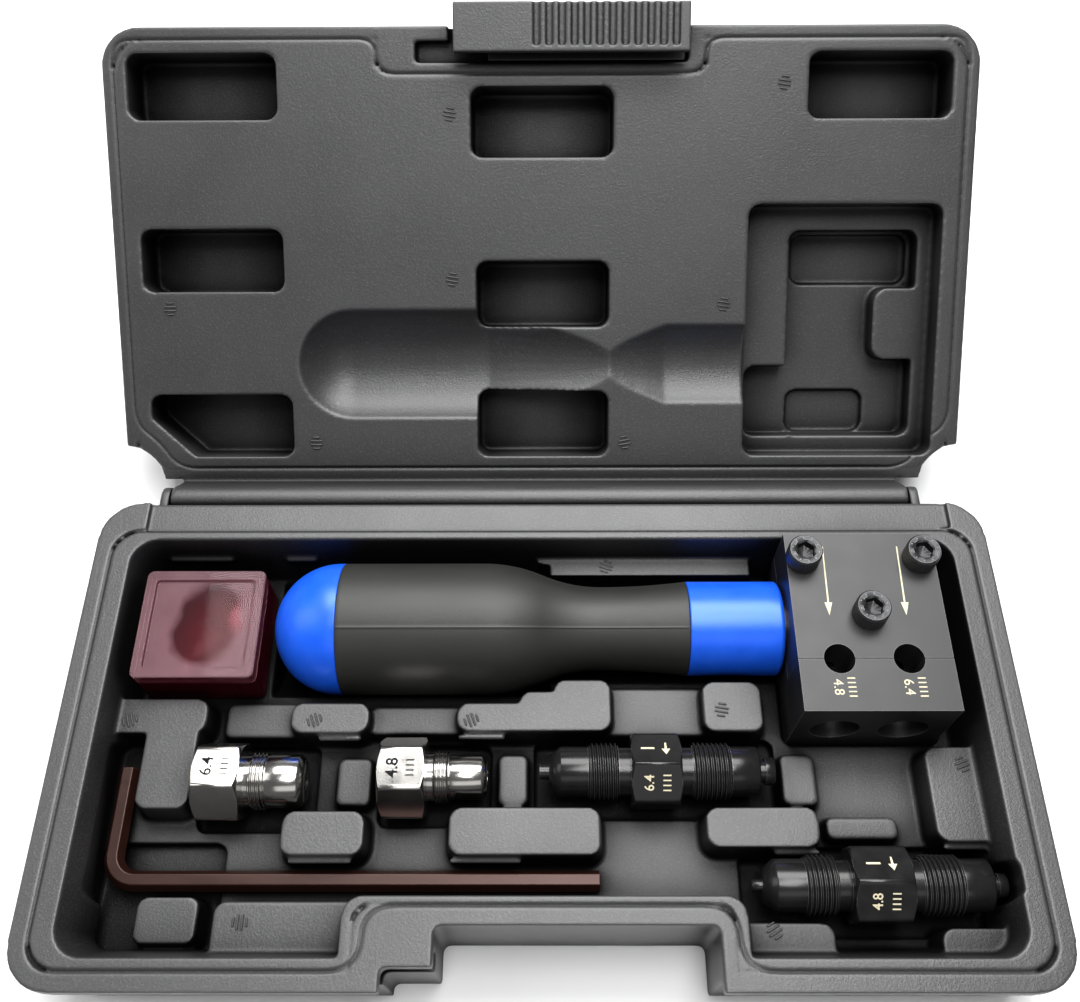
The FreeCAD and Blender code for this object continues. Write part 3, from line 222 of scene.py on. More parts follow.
def punch_black():
    """Glossy oiled black oxide."""
    m = Material("punch_black", (0.014, 0.014, 0.015), 0.2, 0.5)
    cloud = m.noise(0.004, 4)
    m.colour_from(m.mix(m.worn_edge(0.0002), m.mix(cloud, (0.01, 0.01, 0.011, 1), (0.026, 0.025, 0.024, 1)),
                        (0.16, 0.16, 0.16, 1)))
    m.roughness_from(m.range(cloud, 0.14, 0.3))
    turned = m.noise(0.0004, 2, vector=m.stretched(1, 0.05, 0.05))
    m.bump(turned, 0.000006, 0.4)
    return m.data


def nickel():
    """Bright nickel plate over turned steel."""
    m = Material("nickel", (0.78, 0.76, 0.72), 0.16, 1.0)
    cloud = m.noise(0.005, 3)
    m.colour_from(m.mix(cloud, (0.4, 0.388, 0.37, 1), (0.58, 0.565, 0.54, 1)))
    m.roughness_from(m.range(cloud, 0.12, 0.24))
    turned = m.noise(0.0003, 2, vector=m.stretched(1, 0.04, 0.04))
    m.bump(turned, 0.000008, 0.5)
    return m.data


def handle_blue():
    """Satin blue moulding with faint turning marks."""
    m = Material("handle_blue", (0.008, 0.11, 0.82), 0.33, 0.15)
    cloud = m.noise(0.006, 3)
    m.colour_from(m.mix(cloud, (0.005, 0.085, 0.72, 1), (0.012, 0.13, 0.9, 1)))
    m.roughness_from(m.range(cloud, 0.28, 0.4))
    m.bump(m.noise(0.0005, 3), 0.00003, 0.6)
    return m.data


def grip_rubber():
    """Soft black rubber with a fine matt grain."""
    m = Material("grip_rubber", (0.013, 0.013, 0.012), 0.5)
    grain = m.noise(0.0004, 3, 0.6)
    scuff = m.noise(0.012, 4, vector=m.stretched(0.4, 1, 1))
    m.colour_from(m.mix(scuff, (0.011, 0.011, 0.010, 1), (0.018, 0.018, 0.0165, 1)))
    m.roughness_from(m.range(scuff, 0.44, 0.6))
    m.bump(grain, 0.00005, 0.7)
    return m.data


def key_bronze():
    """Brown chemical finish on a hexagon key, worn bright along its corners."""
    m = Material("key_bronze", (0.06, 0.028, 0.02), 0.3, 0.55)
    cloud = m.noise(0.006, 3, vector=m.stretched(0.3, 1, 1))
    m.colour_from(m.mix(m.worn_edge(0.00025), m.mix(cloud, (0.02, 0.006, 0.004, 1), (0.036, 0.013, 0.009, 1)),
                        (0.2, 0.11, 0.08, 1)))
    m.roughness_from(m.range(cloud, 0.26, 0.42))
    m.bump(m.noise(0.0005, 3, vector=m.stretched(0.08, 1, 1)), 0.00002, 0.6)
    return m.data


def drawn_steel():
    """Drawn and turned steel for the hinge pin and the handle's core rod."""
    m = Material("drawn_steel", (0.52, 0.52, 0.53), 0.3, 1.0)
    line = m.noise(0.0003, 2, vector=m.stretched(0.03, 1, 1))
    m.colour_from(m.mix(line, (0.4, 0.4, 0.41, 1), (0.6, 0.6, 0.61, 1)))
    m.roughness_from(m.range(line, 0.22, 0.42))
    m.bump(line, 0.00001, 0.5)
    return m.data


def grease():
    """Dark red grease."""
    m = Material("grease", (0.075, 0.004, 0.008), 0.12, 0.0, **{"Coat Weight": 0.6, "Coat Roughness": 0.05})
    cloud = m.noise(0.008, 3)
    m.colour_from(m.mix(cloud, (0.05, 0.003, 0.006, 1), (0.12, 0.006, 0.014, 1)))
    m.roughness_from(m.range(cloud, 0.08, 0.2))
    m.bump(m.noise(0.004, 2), 0.0003, 0.6)
    return m.data


def clear_plastic(name, tint, milk_colour, haze, window=None):
    """Thin clear polystyrene: see-through with a tint, mirror-like at a slant, with a haze of the given colour.

    window gives the middle and half size of a patch in which hardly any haze hides what lies below."""
    data = bpy.data.materials.new(name)
    data.use_nodes = True
    data.diffuse_color = (*milk_colour, 0.6)
    tree = data.node_tree
    nodes, links = tree.nodes, tree.links
    nodes.remove(nodes["Principled BSDF"])
    place = nodes.new("ShaderNodeTexCoord").outputs["Object"]
    smear = nodes.new("ShaderNodeTexNoise")
    smear.inputs["Scale"].default_value = 70
    smear.inputs["Detail"].default_value = 2
    links.new(place, smear.inputs["Vector"])
    amount = nodes.new("ShaderNodeMapRange")
    amount.inputs["From Min"].default_value = 0.3
    amount.inputs["From Max"].default_value = 0.7
    amount.inputs["To Min"].default_value = 0.75 * haze
    amount.inputs["To Max"].default_value = haze
    links.new(smear.outputs["Fac"], amount.inputs["Value"])
    weight = amount.outputs["Result"]
    if window:
        middle, half = window
        warped = nodes.new("ShaderNodeVectorMath")
        warped.operation = "MULTIPLY_ADD"
        links.new(smear.outputs["Color"], warped.inputs[0])
        warped.inputs[1].default_value = (0.012, 0.012, 0.0)
        links.new(place, warped.inputs[2])
        centred = nodes.new("ShaderNodeVectorMath")
        centred.operation = "SUBTRACT"
        links.new(warped.outputs["Vector"], centred.inputs[0])
        centred.inputs[1].default_value = (middle[0] + 0.006, middle[1] + 0.006, 0.0)
        scaled = nodes.new("ShaderNodeVectorMath")
        scaled.operation = "MULTIPLY"
        links.new(centred.outputs["Vector"], scaled.inputs[0])
        scaled.inputs[1].default_value = (1 / half[0], 1 / half[1], 0.0)
        length = nodes.new("ShaderNodeVectorMath")
        length.operation = "LENGTH"
        links.new(scaled.outputs["Vector"], length.inputs[0])
        outside = nodes.new("ShaderNodeMapRange")
        outside.inputs["From Min"].default_value = 0.85
        outside.inputs["From Max"].default_value = 1.12
        outside.inputs["To Min"].default_value = 0.12
        links.new(length.outputs["Value"], outside.inputs["Value"])
        product = nodes.new("ShaderNodeMath")
        product.operation = "MULTIPLY"
        links.new(weight, product.inputs[0])
        links.new(outside.outputs["Result"], product.inputs[1])
        weight = product.outputs[0]
    see = nodes.new("ShaderNodeBsdfTransparent")
    see.inputs["Color"].default_value = (*tint, 1)
    milk = nodes.new("ShaderNodeBsdfDiffuse")
    upward = nodes.new("ShaderNodeSeparateXYZ")
    links.new(nodes.new("ShaderNodeNewGeometry").outputs["Normal"], upward.inputs[0])
    level = nodes.new("ShaderNodeValToRGB")
    level.color_ramp.elements[0].position = 0.2
    level.color_ramp.elements[0].color = (0.07, 0.005, 0.011, 1)
    level.color_ramp.elements[1].position = 0.7
    level.color_ramp.elements[1].color = (*milk_colour, 1)
    links.new(upward.outputs["Z"], level.inputs["Fac"])
    links.new(level.outputs["Color"], milk.inputs["Color"])
    body = nodes.new("ShaderNodeMixShader")
    links.new(weight, body.inputs["Fac"])
    links.new(see.outputs[0], body.inputs[1])
    links.new(milk.outputs[0], body.inputs[2])
    shine = nodes.new("ShaderNodeBsdfGlossy")
    shine.inputs["Roughness"].default_value = 0.05
    fresnel = nodes.new("ShaderNodeFresnel")
    fresnel.inputs["IOR"].default_value = 1.16
    surface = nodes.new("ShaderNodeMixShader")
    links.new(fresnel.outputs[0], surface.inputs["Fac"])
    links.new(body.outputs[0], surface.inputs[1])
    links.new(shine.outputs[0], surface.inputs[2])
    links.new(surface.outputs[0], nodes["Material Output"].inputs["Surface"])
    return data


def mark_ink(name, colour):
    """Laser-marked numerals and arrows."""
    m = Material(name, colour, 0.8, **{"Specular IOR Level": 0.1})
    spot = m.noise(0.0004, 2)
    m.colour_from(m.mix(spot, tuple(0.75 * c for c in colour) + (1,), tuple(colour) + (1,)))
    return m.data


# ---------------------------------------------------------------- mesh helpers

def new_piece(name, mesh, body, material, slot=None, stands_for=()):
    """Link a mesh as a piece of the object, riding on a body."""
    piece = bpy.data.objects.new(name, mesh)
    bpy.context.scene.collection.objects.link(piece)
    mesh.materials.clear()
    mesh.materials.append(material)
    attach(piece, body)
    if stands_for:
        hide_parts(*stands_for)
    return piece


def body_of(node):
    """The name of the CAD body that holds a node."""
    return frame["nodes"][node]["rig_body"]


def slot_of(node):
    """The record's material slot of a node."""
    return next(s["material_slot"] for s in frame["record"]["subparts"] if s["node"] == node)


def cad_bmesh(node):
    """A working copy of a CAD node's mesh, with split vertices joined."""
    bm = bmesh.new()
    bm.from_mesh(frame["nodes"][node].data)
    bmesh.ops.remove_doubles(bm, verts=bm.verts, dist=1e-6)
    return bm


def islands(bm):
    """The vertex groups that hang together."""
    left, found = set(bm.verts), []
    while left:
        stack, group = [left.pop()], set()
        while stack:
            vertex = stack.pop()
            group.add(vertex)
            for edge in vertex.link_edges:
                other = edge.other_vert(vertex)
                if other in left:
                    left.remove(other)
                    stack.append(other)
        found.append(group)
    return found


def keep_outer_skin(bm):
    """Remove the inner void of a hollow wall and keep its outer skin."""
    def width(group):
        xs = [v.co.x for v in group]
        return max(xs) - min(xs)

    groups = sorted(islands(bm), key=width)
    for group in groups[:-1]:
        bmesh.ops.delete(bm, geom=list(group), context="VERTS")


def applied(mesh, modifiers):
    """The mesh after a list of (modifier type, settings)."""
    helper = bpy.data.objects.new("helper", mesh)
    bpy.context.scene.collection.objects.link(helper)
    for kind, settings in modifiers:
        modifier = helper.modifiers.new(kind, kind)
        for name, value in settings.items():
            setattr(modifier, name, value)
    graph = bpy.context.evaluated_depsgraph_get()
    result = bpy.data.meshes.new_from_object(helper.evaluated_get(graph), depsgraph=graph)
    bpy.data.objects.remove(helper)
    return result


def smooth_shaded(mesh):
    mesh.shade_smooth()
    return mesh


def moulded(node, voxel, rounds, material, extra=None, finish=None):
    """A soft-edged moulding: the CAD skin, remeshed evenly and smoothed; extra adds closed shapes to be joined
    in, and finish moves the points of the result, in millimetres."""
    bm = cad_bmesh(node)
    keep_outer_skin(bm)
    if extra:
        extra(bm)
    mesh = bpy.data.meshes.new(node + "_skin")
    bm.to_mesh(mesh)
    bm.free()
    mesh = applied(mesh, [
        ("REMESH", {"mode": "VOXEL", "voxel_size": voxel, "adaptivity": 0.0}),
        ("SMOOTH", {"factor": 0.5, "iterations": rounds}),
    ])
    mesh.name = node + "_moulded"
    if finish:
        flat = np.empty(3 * len(mesh.vertices))
        mesh.vertices.foreach_get("co", flat)
        points = finish(flat.reshape(-1, 3) / MM) * MM
        mesh.vertices.foreach_set("co", points.ravel())
    smooth_shaded(mesh)
    return new_piece(node + "_moulding", mesh, body_of(node), material, slot_of(node), (node,))


def machined(node, bevel, material, segments=3):
    """A machined piece: the CAD shape with its sharp edges broken."""
    bm = cad_bmesh(node)
    bmesh.ops.dissolve_limit(bm, angle_limit=math.radians(0.5), verts=bm.verts, edges=bm.edges)
    mesh = bpy.data.meshes.new(node + "_machined")
    bm.to_mesh(mesh)
    bm.free()
    mesh.shade_smooth()
    mesh = applied(mesh, [
        ("BEVEL", {"width": bevel, "segments": segments, "limit_method": "ANGLE",
                   "angle_limit": math.radians(35), "use_clamp_overlap": True}),
        ("WEIGHTED_NORMAL", {"mode": "FACE_AREA", "weight": 100}),
    ])
    return new_piece(node + "_finished", mesh, body_of(node), material, slot_of(node), (node,))


def loft(rings, name, sharp=32):
    """A closed solid through rings of equal count; each ring is an array of points, and the ends are capped."""
    count = len(rings[0])
    points = [p for ring in rings for p in ring]
    faces = []
    for i in range(len(rings) - 1):
        for k in range(count):
            n = (k + 1) % count
            faces.append((i * count + k, i * count + n, (i + 1) * count + n, (i + 1) * count + k))
    for i, ring in ((0, rings[0]), (len(rings) - 1, rings[-1])):
        centre = len(points)
        points.append(np.mean(ring, axis=0))
        for k in range(count):
            a, b = i * count + k, i * count + (k + 1) % count
            faces.append((b, a, centre) if i == 0 else (a, b, centre))
    mesh = bpy.data.meshes.new(name)
    mesh.from_pydata([tuple(p) for p in points], [], faces)
    mesh.validate()
    bm = bmesh.new()
    bm.from_mesh(mesh)
    bmesh.ops.recalc_face_normals(bm, faces=bm.faces)
    bm.to_mesh(mesh)
    bm.free()
    mesh.shade_smooth()
    mesh.set_sharp_from_angle(angle=math.radians(sharp))
    return mesh


def around_x(axis_y, axis_z, turn=0.0, count=144):
    """A maker of rings about an axis along X: ring(x, radius), where the radius may be a function of the angle."""
    angles = turn + np.linspace(0, 2 * math.pi, count, endpoint=False)

    def ring(x, radius):
        r = radius(angles) if callable(radius) else np.full(count, float(radius))
        return np.column_stack([np.full(count, x), axis_y + r * np.cos(angles), axis_z + r * np.sin(angles)])

    return ring


def around_z(axis_x, axis_y, turn=0.0, count=144):
    """The same for an axis along Z: ring(z, radius)."""
    angles = turn + np.linspace(0, 2 * math.pi, count, endpoint=False)

    def ring(z, radius):
        r = radius(angles) if callable(radius) else np.full(count, float(radius))
        return np.column_stack([axis_x + r * np.cos(angles), axis_y + r * np.sin(angles), np.full(count, z)])

    return ring


def hexagon(flats, turn):
    """Radius of a hexagon against the angle; turn is the angle of one corner."""
    step = math.pi / 3

    def radius(angles):
        return flats / 2 / np.cos((angles - turn) % step - step / 2)

    return radius


def smaller(first, second):
    """The smaller of a radius function and a plain radius."""
    return lambda angles: np.minimum(first(angles), second)


def helix(outer, depth, pitch, x):
    """Radius of a screw thread at x against the angle, with rounded crests."""
    def radius(angles):
        phase = (x / pitch - angles / (2 * math.pi)) % 1.0
        return outer - depth * 0.5 * (1 - np.cos(2 * math.pi * phase))

    return radius


def threaded(ring, start, end, outer, depth, pitch):
    """Rings of a screw thread from start to end, fading in and out at its ends."""
    rings = []
    count = int(round((end - start) / pitch * 14))
    for i in range(count + 1):
        x = start + (end - start) * i / count
        fade = min(1.0, (x - start) / (0.5 * pitch), (end - x) / (0.5 * pitch))
        rings.append(ring(x, helix(outer - depth * (1 - fade), depth * fade, pitch, x)))
    return rings


def hex_section(ring, start, end, flats, turn):
    """Rings of a hexagon with turned chamfers at both ends."""
    shape = hexagon(flats, turn)
    corner = flats / math.sqrt(3)
    rise = corner - flats / 2
    steps = 6
    rings = [ring(start, smaller(shape, flats / 2 * 0.97))]
    for i in range(steps + 1):
        rings.append(ring(start + rise * 0.577 * i / steps, smaller(shape, flats / 2 + rise * i / steps)))
    for i in range(steps, -1, -1):
        rings.append(ring(end - rise * 0.577 * i / steps, smaller(shape, flats / 2 + rise * i / steps)))
    rings.append(ring(end, smaller(shape, flats / 2 * 0.97)))
    return rings


# ---------------------------------------------------------------- the case

def capsule(bm, start, end, radius):
    """Add a rounded bar between two points, in metres."""
    start, end = Vector(start), Vector(end)
    middle, span = (start + end) / 2, end - start
    turn = span.to_track_quat("Z", "Y").to_matrix().to_4x4() if span.length else Matrix.Identity(4)
    made = bmesh.ops.create_uvsphere(bm, u_segments=16, v_segments=12, radius=radius)
    for vertex in made["verts"]:
        vertex.co.z += math.copysign(span.length / 2, vertex.co.z)
        vertex.co = middle + (turn @ vertex.co.to_4d()).to_3d()


HINGE = (75.6, 24.9)


def swung(points, angle):
    """Points in millimetres turned about the hinge of the case."""
    y, z = points[:, 1] - HINGE[0], points[:, 2] - HINGE[1]
    c, s = math.cos(angle), math.sin(angle)
    return np.column_stack([points[:, 0], HINGE[0] + c * y - s * z, HINGE[1] + s * y + c * z])


def rounded_path(corners, radius, steps=8):
    """A closed outline with its corners rounded."""
    corners = np.array(corners, float)
    path = []
    for i, corner in enumerate(corners):
        before, after = corners[i - 1] - corner, corners[(i + 1) % len(corners)] - corner
        start = corner + before / np.linalg.norm(before) * min(radius, np.linalg.norm(before) * 0.49)
        end = corner + after / np.linalg.norm(after) * min(radius, np.linalg.norm(after) * 0.49)
        for t in np.linspace(0, 1, steps):
            path.append((1 - t) ** 2 * start + 2 * t * (1 - t) * corner + t ** 2 * end)
    return np.array(path)


def distance(points, path):
    """Distance of points from a closed outline, seen from above."""
    best = np.full(len(points), 1e9)
    for start, end in zip(path, np.roll(path, -1, axis=0)):
        span = end - start
        along = np.clip(((points[:, :2] - start) @ span) / (span @ span + 1e-12), 0, 1)
        best = np.minimum(best, np.linalg.norm(points[:, :2] - start - along[:, None] * span, axis=1))
    return best


BASE_LINE = rounded_path([(-130.0, 60.2), (130.0, 60.2), (130.0, -65.0), (50.6, -65.0), (50.6, -49.2),
                          (-45.5, -49.2), (-45.5, -65.0), (-130.0, -65.0)], 9.0)
LID_LINE = rounded_path([(-131.2, 52.0), (-124.0, 57.5), (-118.0, 66.2), (118.0, 66.2), (124.0, 57.5),
                         (131.2, 52.0), (131.2, -66.2), (50.9, -66.2), (50.9, -56.0), (-50.4, -56.0),
                         (-50.4, -66.2), (-131.2, -66.2)], 6.0)


def finish_base(points):
    """Sharpen the groove of the rim."""
    top = points[:, 2] > 31.5
    rim = points[top]
    away = distance(rim, BASE_LINE)
    rim[:, 2] -= 0.45 * np.exp(-(away / 0.5) ** 2)
    points[top] = rim
    return points


def finish_lid(points):
    """Sharpen the groove of the lid's rim."""
    closed = swung(points, LID_OPEN)
    foot = closed[:, 2] < 35.6
    rim = closed[foot]
    away = distance(rim, LID_LINE)
    rim[:, 2] += 0.4 * np.exp(-(away / 0.45) ** 2)
    closed[foot] = rim
    return swung(closed, -LID_OPEN)


# Small lips that hold the tools: x from, x to, y and z, in millimetres.
LIPS = (
    (-63.0, -52.0, -1.8, 23.2),
    (-23.0, -11.0, -1.5, 23.2),
    (-68.0, -52.0, -35.9, 23.0),
    (-24.0, -6.0, -35.9, 23.0),
    (64.0, 75.0, -33.7, 23.0),
    (110.0, 121.0, -32.3, 23.0),
    (-78.0, -70.0, 54.4, 25.2),
    (-114.0, -96.0, 54.4, 25.2),
)

# Cavity marks of the moulds: middle x and y, and the angle of the strokes.
BASE_MARKS = ((-118, 3, 20), (-65, 3, 20), (-20, 3, 20), (-79, -52, 0), (61, -54, 120), (118, -10, 110), (52, 6, 80),
              (20, 52, 70))
LID_MARKS = ((-28, -44, 100), (75, -53, 100), (-118, 15, 90), (-28, 6, 100), (-73, 58, 90), (27, 58, 80),
             (58, 14, 100))


def add_lips(bm):
    for x0, x1, y, z in LIPS:
        capsule(bm, (x0 * MM, y * MM, z * MM), (x1 * MM, y * MM, z * MM), 0.85 * MM)


def mould_marks(name, marks, level, body, material, slot, angle):
    """Groups of four fine raised strokes."""
    bm = bmesh.new()
    for x, y, turn in marks:
        across, along = math.radians(turn), math.radians(turn + 90)
        for i, half in enumerate((0.9, 1.7, 1.7, 0.9)):
            step = (i - 1.5) * 1.2
            cx, cy = x + step * math.cos(across), y + step * math.sin(across)
            dx, dy = half * math.cos(along), half * math.sin(along)
            capsule(bm, ((cx - dx) * MM, (cy - dy) * MM, level * MM), ((cx + dx) * MM, (cy + dy) * MM, level * MM),
                    0.26 * MM)
    if angle:
        points = np.array([v.co for v in bm.verts]) / MM
        for vertex, point in zip(bm.verts, swung(points, angle) * MM):
            vertex.co = point
    mesh = bpy.data.meshes.new(name)
    bm.to_mesh(mesh)
    bm.free()
    mesh.shade_smooth()
    new_piece(name, mesh, body, material, slot)


def make_case(plastic, strokes):
    """The two mouldings and the latch."""
    moulded("case_base", 0.5 * MM, 7, plastic, add_lips, finish_base)
    moulded("case_lid", 0.5 * MM, 10, plastic, None, finish_lid)
    moulded("case_latch", 0.32 * MM, 5, plastic)
    mould_marks("base_marks", BASE_MARKS, 25.05, body_of("case_base"), strokes, slot_of("case_base"), 0.0)
    mould_marks("lid_marks", LID_MARKS, 34.1, body_of("case_lid"), strokes, slot_of("case_lid"), -LID_OPEN)


# ---------------------------------------------------------------- die and screws

def make_screw(node, material):
    """Socket head cap screw with a knurled head and a turned lead-in to its socket."""
    low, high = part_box(node)
    radius = (high.x - low.x) / 2
    centre = (low + high) / 2
    head = radius * 1.2
    seat = high.z - head
    shank = radius * 0.6
    turn = {"clamp_screw_left": 23.0, "clamp_screw_right": 8.0, "clamp_screw_front": 12.0}[node]
    ring = around_z(centre.x, centre.y, math.radians(turn), 192)
    knurl = lambda angles: radius - 0.12 * MM * (1 + np.cos(48 * angles))
    socket = hexagon(radius, math.radians(turn))
    rings = [ring(low.z, shank * 0.75), ring(low.z + shank * 0.25, shank)]
    for i in range(60):
        z = low.z + shank * 0.3 + i * 0.22 * MM
        rings.append(ring(z, helix(shank, 0.5 * MM, 1.0 * MM, z)))
    rings += [
        ring(low.z + 15 * MM, shank),
        ring(seat, shank),
        ring(seat, radius * 0.95),
        ring(seat + 0.25 * MM, radius * 0.975),
        ring(seat + 0.45 * MM, knurl),
        ring(high.z - 1.0 * MM, knurl),
        ring(high.z - 0.8 * MM, radius * 0.985),
        ring(high.z - 0.55 * MM, radius * 0.985),
        ring(high.z - 0.15 * MM, radius * 0.93),
        ring(high.z, radius * 0.89),
        ring(high.z, radius * 0.63),
        ring(high.z - 0.35 * MM, smaller(socket, radius * 0.56)),
        ring(high.z - 0.75 * MM, socket),
        ring(high.z - 3.1 * MM, socket),
        ring(high.z - 3.2 * MM, smaller(socket, radius * 0.5)),
        ring(high.z - 4.1 * MM, radius * 0.06),
    ]
    new_piece(node + "_turned", loft(rings, node), body_of(node), material, slot_of(node), (node,))
    dots = bmesh.new()
    for i in range(10):
        angle = math.radians(turn + 36 * i)
        place = Vector((centre.x + 0.76 * radius * math.cos(angle), centre.y + 0.76 * radius * math.sin(angle),
                        high.z))
        bmesh.ops.create_cone(dots, cap_ends=True, segments=10, radius1=0.26 * MM, radius2=0.2 * MM,
                              depth=0.08 * MM, matrix=Matrix.Translation(place))
    mesh = bpy.data.meshes.new(node + "_dots")
    dots.to_mesh(mesh)
    dots.free()
    new_piece(node + "_dots", mesh, body_of(node), material, slot_of(node))


def flat_outline(name, outlines, height, place, body, material, slot):
    """Thin raised marks from closed outlines; place maps a local (u, v, w) to the row frame."""
    bm = bmesh.new()
    for outline in outlines:
        foot = [bm.verts.new(place(u, v, -height)) for u, v in outline]
        top = [bm.verts.new(place(u, v, height)) for u, v in outline]
        bm.faces.new(foot)
        bm.faces.new(top)
        for i in range(len(outline)):
            n = (i + 1) % len(outline)
            bm.faces.new((foot[i], foot[n], top[n], top[i]))
    bmesh.ops.recalc_face_normals(bm, faces=bm.faces)
    mesh = bpy.data.meshes.new(name)
    bm.to_mesh(mesh)
    bm.free()
    return new_piece(name, mesh, body, material, slot)


def arrow_outline(start, end, shaft, head_length, head_width):
    """A long arrow as one outline."""
    start, end = np.array(start), np.array(end)
    along = (end - start) / np.linalg.norm(end - start)
    side = np.array([-along[1], along[0]])
    neck = end - along * head_length
    return [
        tuple(start + side * shaft * 0.7),
        tuple(neck + side * shaft),
        tuple(neck + side * head_width),
        tuple(end),
        tuple(neck - side * head_width),
        tuple(neck - side * shaft),
        tuple(start - side * shaft * 0.7),
    ]


def numerals(name, text, size, height, matrix, body, material, slot, weight=0.0):
    """Numerals as a thin closed mesh, placed by a matrix; weight thickens their strokes."""
    curve = bpy.data.curves.new(name + "_text", "FONT")
    curve.body = text
    curve.size = size
    curve.extrude = height
    curve.offset = weight
    curve.align_x = "CENTER"
    curve.align_y = "CENTER"
    curve.resolution_u = 3
    helper = bpy.data.objects.new(name + "_text", curve)
    bpy.context.scene.collection.objects.link(helper)
    graph = bpy.context.evaluated_depsgraph_get()
    mesh = bpy.data.meshes.new_from_object(helper.evaluated_get(graph), depsgraph=graph)
    bpy.data.objects.remove(helper)
    bm = bmesh.new()
    bm.from_mesh(mesh)
    bmesh.ops.remove_doubles(bm, verts=bm.verts, dist=1e-6)
    bm.to_mesh(mesh)
    bm.free()
    mesh.transform(matrix)
    return new_piece(name, mesh, body, material, slot)


def tick_row(count, pitch, length, width):
    """Outlines of a row of short bars along u, centred on the origin."""
    outlines = []
    for i in range(count):
        u = (i - (count - 1) / 2) * pitch
        outlines.append([(u - width / 2, -length / 2), (u + width / 2, -length / 2), (u + width / 2, length / 2),
                         (u - width / 2, length / 2)])
    return outlines


def on_plane(origin, u_axis, v_axis):
    """A function that maps (u, v, w) on a plane to the row frame, and the same as a matrix."""
    origin, u_axis, v_axis = Vector(origin), Vector(u_axis).normalized(), Vector(v_axis).normalized()
    normal = u_axis.cross(v_axis)
    matrix = Matrix((u_axis, v_axis, normal)).transposed().to_4x4()
    matrix.translation = origin

    def place(u, v, w):
        return origin + u_axis * u + v_axis * v + normal * w

    return place, matrix


def make_die(material, ink):
    """The two halves of the die, its screws' marks left to their own maker, and the marks on its top."""
    machined("die_body", 0.4 * MM, material)
    machined("clamp_plate", 0.35 * MM, material)
    low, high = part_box("die_body")
    top = high.z
    width, depth = high.x - low.x, high.y - low.y
    windows = (("small", low.x + 0.2656 * width, "4.8"), ("large", low.x + 0.7136 * width, "6.4"))
    for name, x, text in windows:
        place, _ = on_plane((0, 0, top), (1, 0, 0), (0, 1, 0))
        lean = -0.5 * MM if name == "small" else 1.9 * MM
        arrow = arrow_outline((x + lean, low.y + 0.92 * depth), (x + lean - 0.6 * MM, low.y + 0.518 * depth),
                              0.24 * MM, 4.0 * MM, 1.1 * MM)
        flat_outline(f"arrow_{name}", [arrow], 0.03 * MM, place, body_of("clamp_plate"), ink, None)
        row, matrix = on_plane((x - 1.4 * MM, low.y + 0.125 * depth, top), (0, -1, 0), (1, 0, 0))
        numerals(f"numeral_{name}", text, 3.9 * MM, 0.03 * MM, matrix, body_of("die_body"), ink, None)
        row, _ = on_plane((x + 2.4 * MM, low.y + 0.125 * depth, top), (0, -1, 0), (1, 0, 0))
        flat_outline(f"ticks_{name}", tick_row(5, 1.3 * MM, 2.2 * MM, 0.34 * MM), 0.03 * MM, row,
                     body_of("die_body"), ink, None)


# ---------------------------------------------------------------- handle

def silhouette(node):
    """The outline of a CAD node that is turned about X: sorted (x, radius) of its outside."""
    low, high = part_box(node)
    axis = (low + high) / 2
    outline = {}
    for vertex in frame["nodes"][node].data.vertices:
        x = round(vertex.co.x, 6)
        r = math.hypot(vertex.co.y - axis.y, vertex.co.z - axis.z)
        outline[x] = max(outline.get(x, 0.0), r)
    return sorted(outline.items())


def make_handle(blue, rubber, steel):
    """Cap, grip and ferrule turned afresh with fine edges and the grip's parting line; the rod is the CAD's own."""
    low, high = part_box("handle_grip")
    axis = (low + high) / 2
    rod = (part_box("handle_rod")[1].x, 6.0 * MM)[1]
    seam_at = math.radians(112)

    def seamed(radius):
        def function(angles):
            away = np.abs((angles - seam_at + math.pi) % (2 * math.pi) - math.pi)
            return radius + 0.16 * MM * np.exp(-(away / 0.016) ** 2)
        return function

    ring = around_x(axis.y, axis.z, 0.0, 360)
    for node, material in (("handle_cap", blue), ("handle_grip", rubber), ("handle_ferrule", blue)):
        outline = [(x, r) for x, r in silhouette(node)]
        x0, x1 = outline[0][0], outline[-1][0]
        body = [(x, r) for x, r in outline if r > rod * 1.05]
        count = 90
        xs = np.linspace(body[0][0], body[-1][0], count)
        if node == "handle_cap":
            xs = x1 - (x1 - x0) * np.cos(np.linspace(0, math.pi / 2, count))
            body = outline
        radii = np.interp(xs, [x for x, _ in body], [r for _, r in body])
        if node == "handle_cap":
            dome = radii.max()
            radii = np.sqrt(np.clip(dome ** 2 - np.clip(x0 + dome - xs, 0, None) ** 2, 1e-10, None))
        step = 0.35 * MM
        rings = []
        if node != "handle_cap":
            rings += [ring(x0, rod), ring(x0, radii[0] - step), ring(x0 + step * 0.3, radii[0] - step * 0.3)]
            xs[0] = x0 + step
        for x, r in zip(xs[:-1], radii[:-1]):
            rings.append(ring(x, seamed(r) if node == "handle_grip" else r))
        rings += [ring(x1 - step, radii[-1]), ring(x1 - step * 0.3, radii[-1] - step * 0.3),
                  ring(x1, radii[-1] - step), ring(x1, rod)]
        if node == "handle_cap":
            rings += [ring(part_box("handle_rod")[0].x, rod), ring(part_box("handle_rod")[0].x, 0.1 * MM)]
            mesh = loft(rings, node)
        else:
            mesh = tube(rings, node)
        new_piece(node + "_turned", mesh, "handle", material, slot_of(node), (node,))
    frame["nodes"]["handle_rod"].data.materials.clear()
    frame["nodes"]["handle_rod"].data.materials.append(steel)


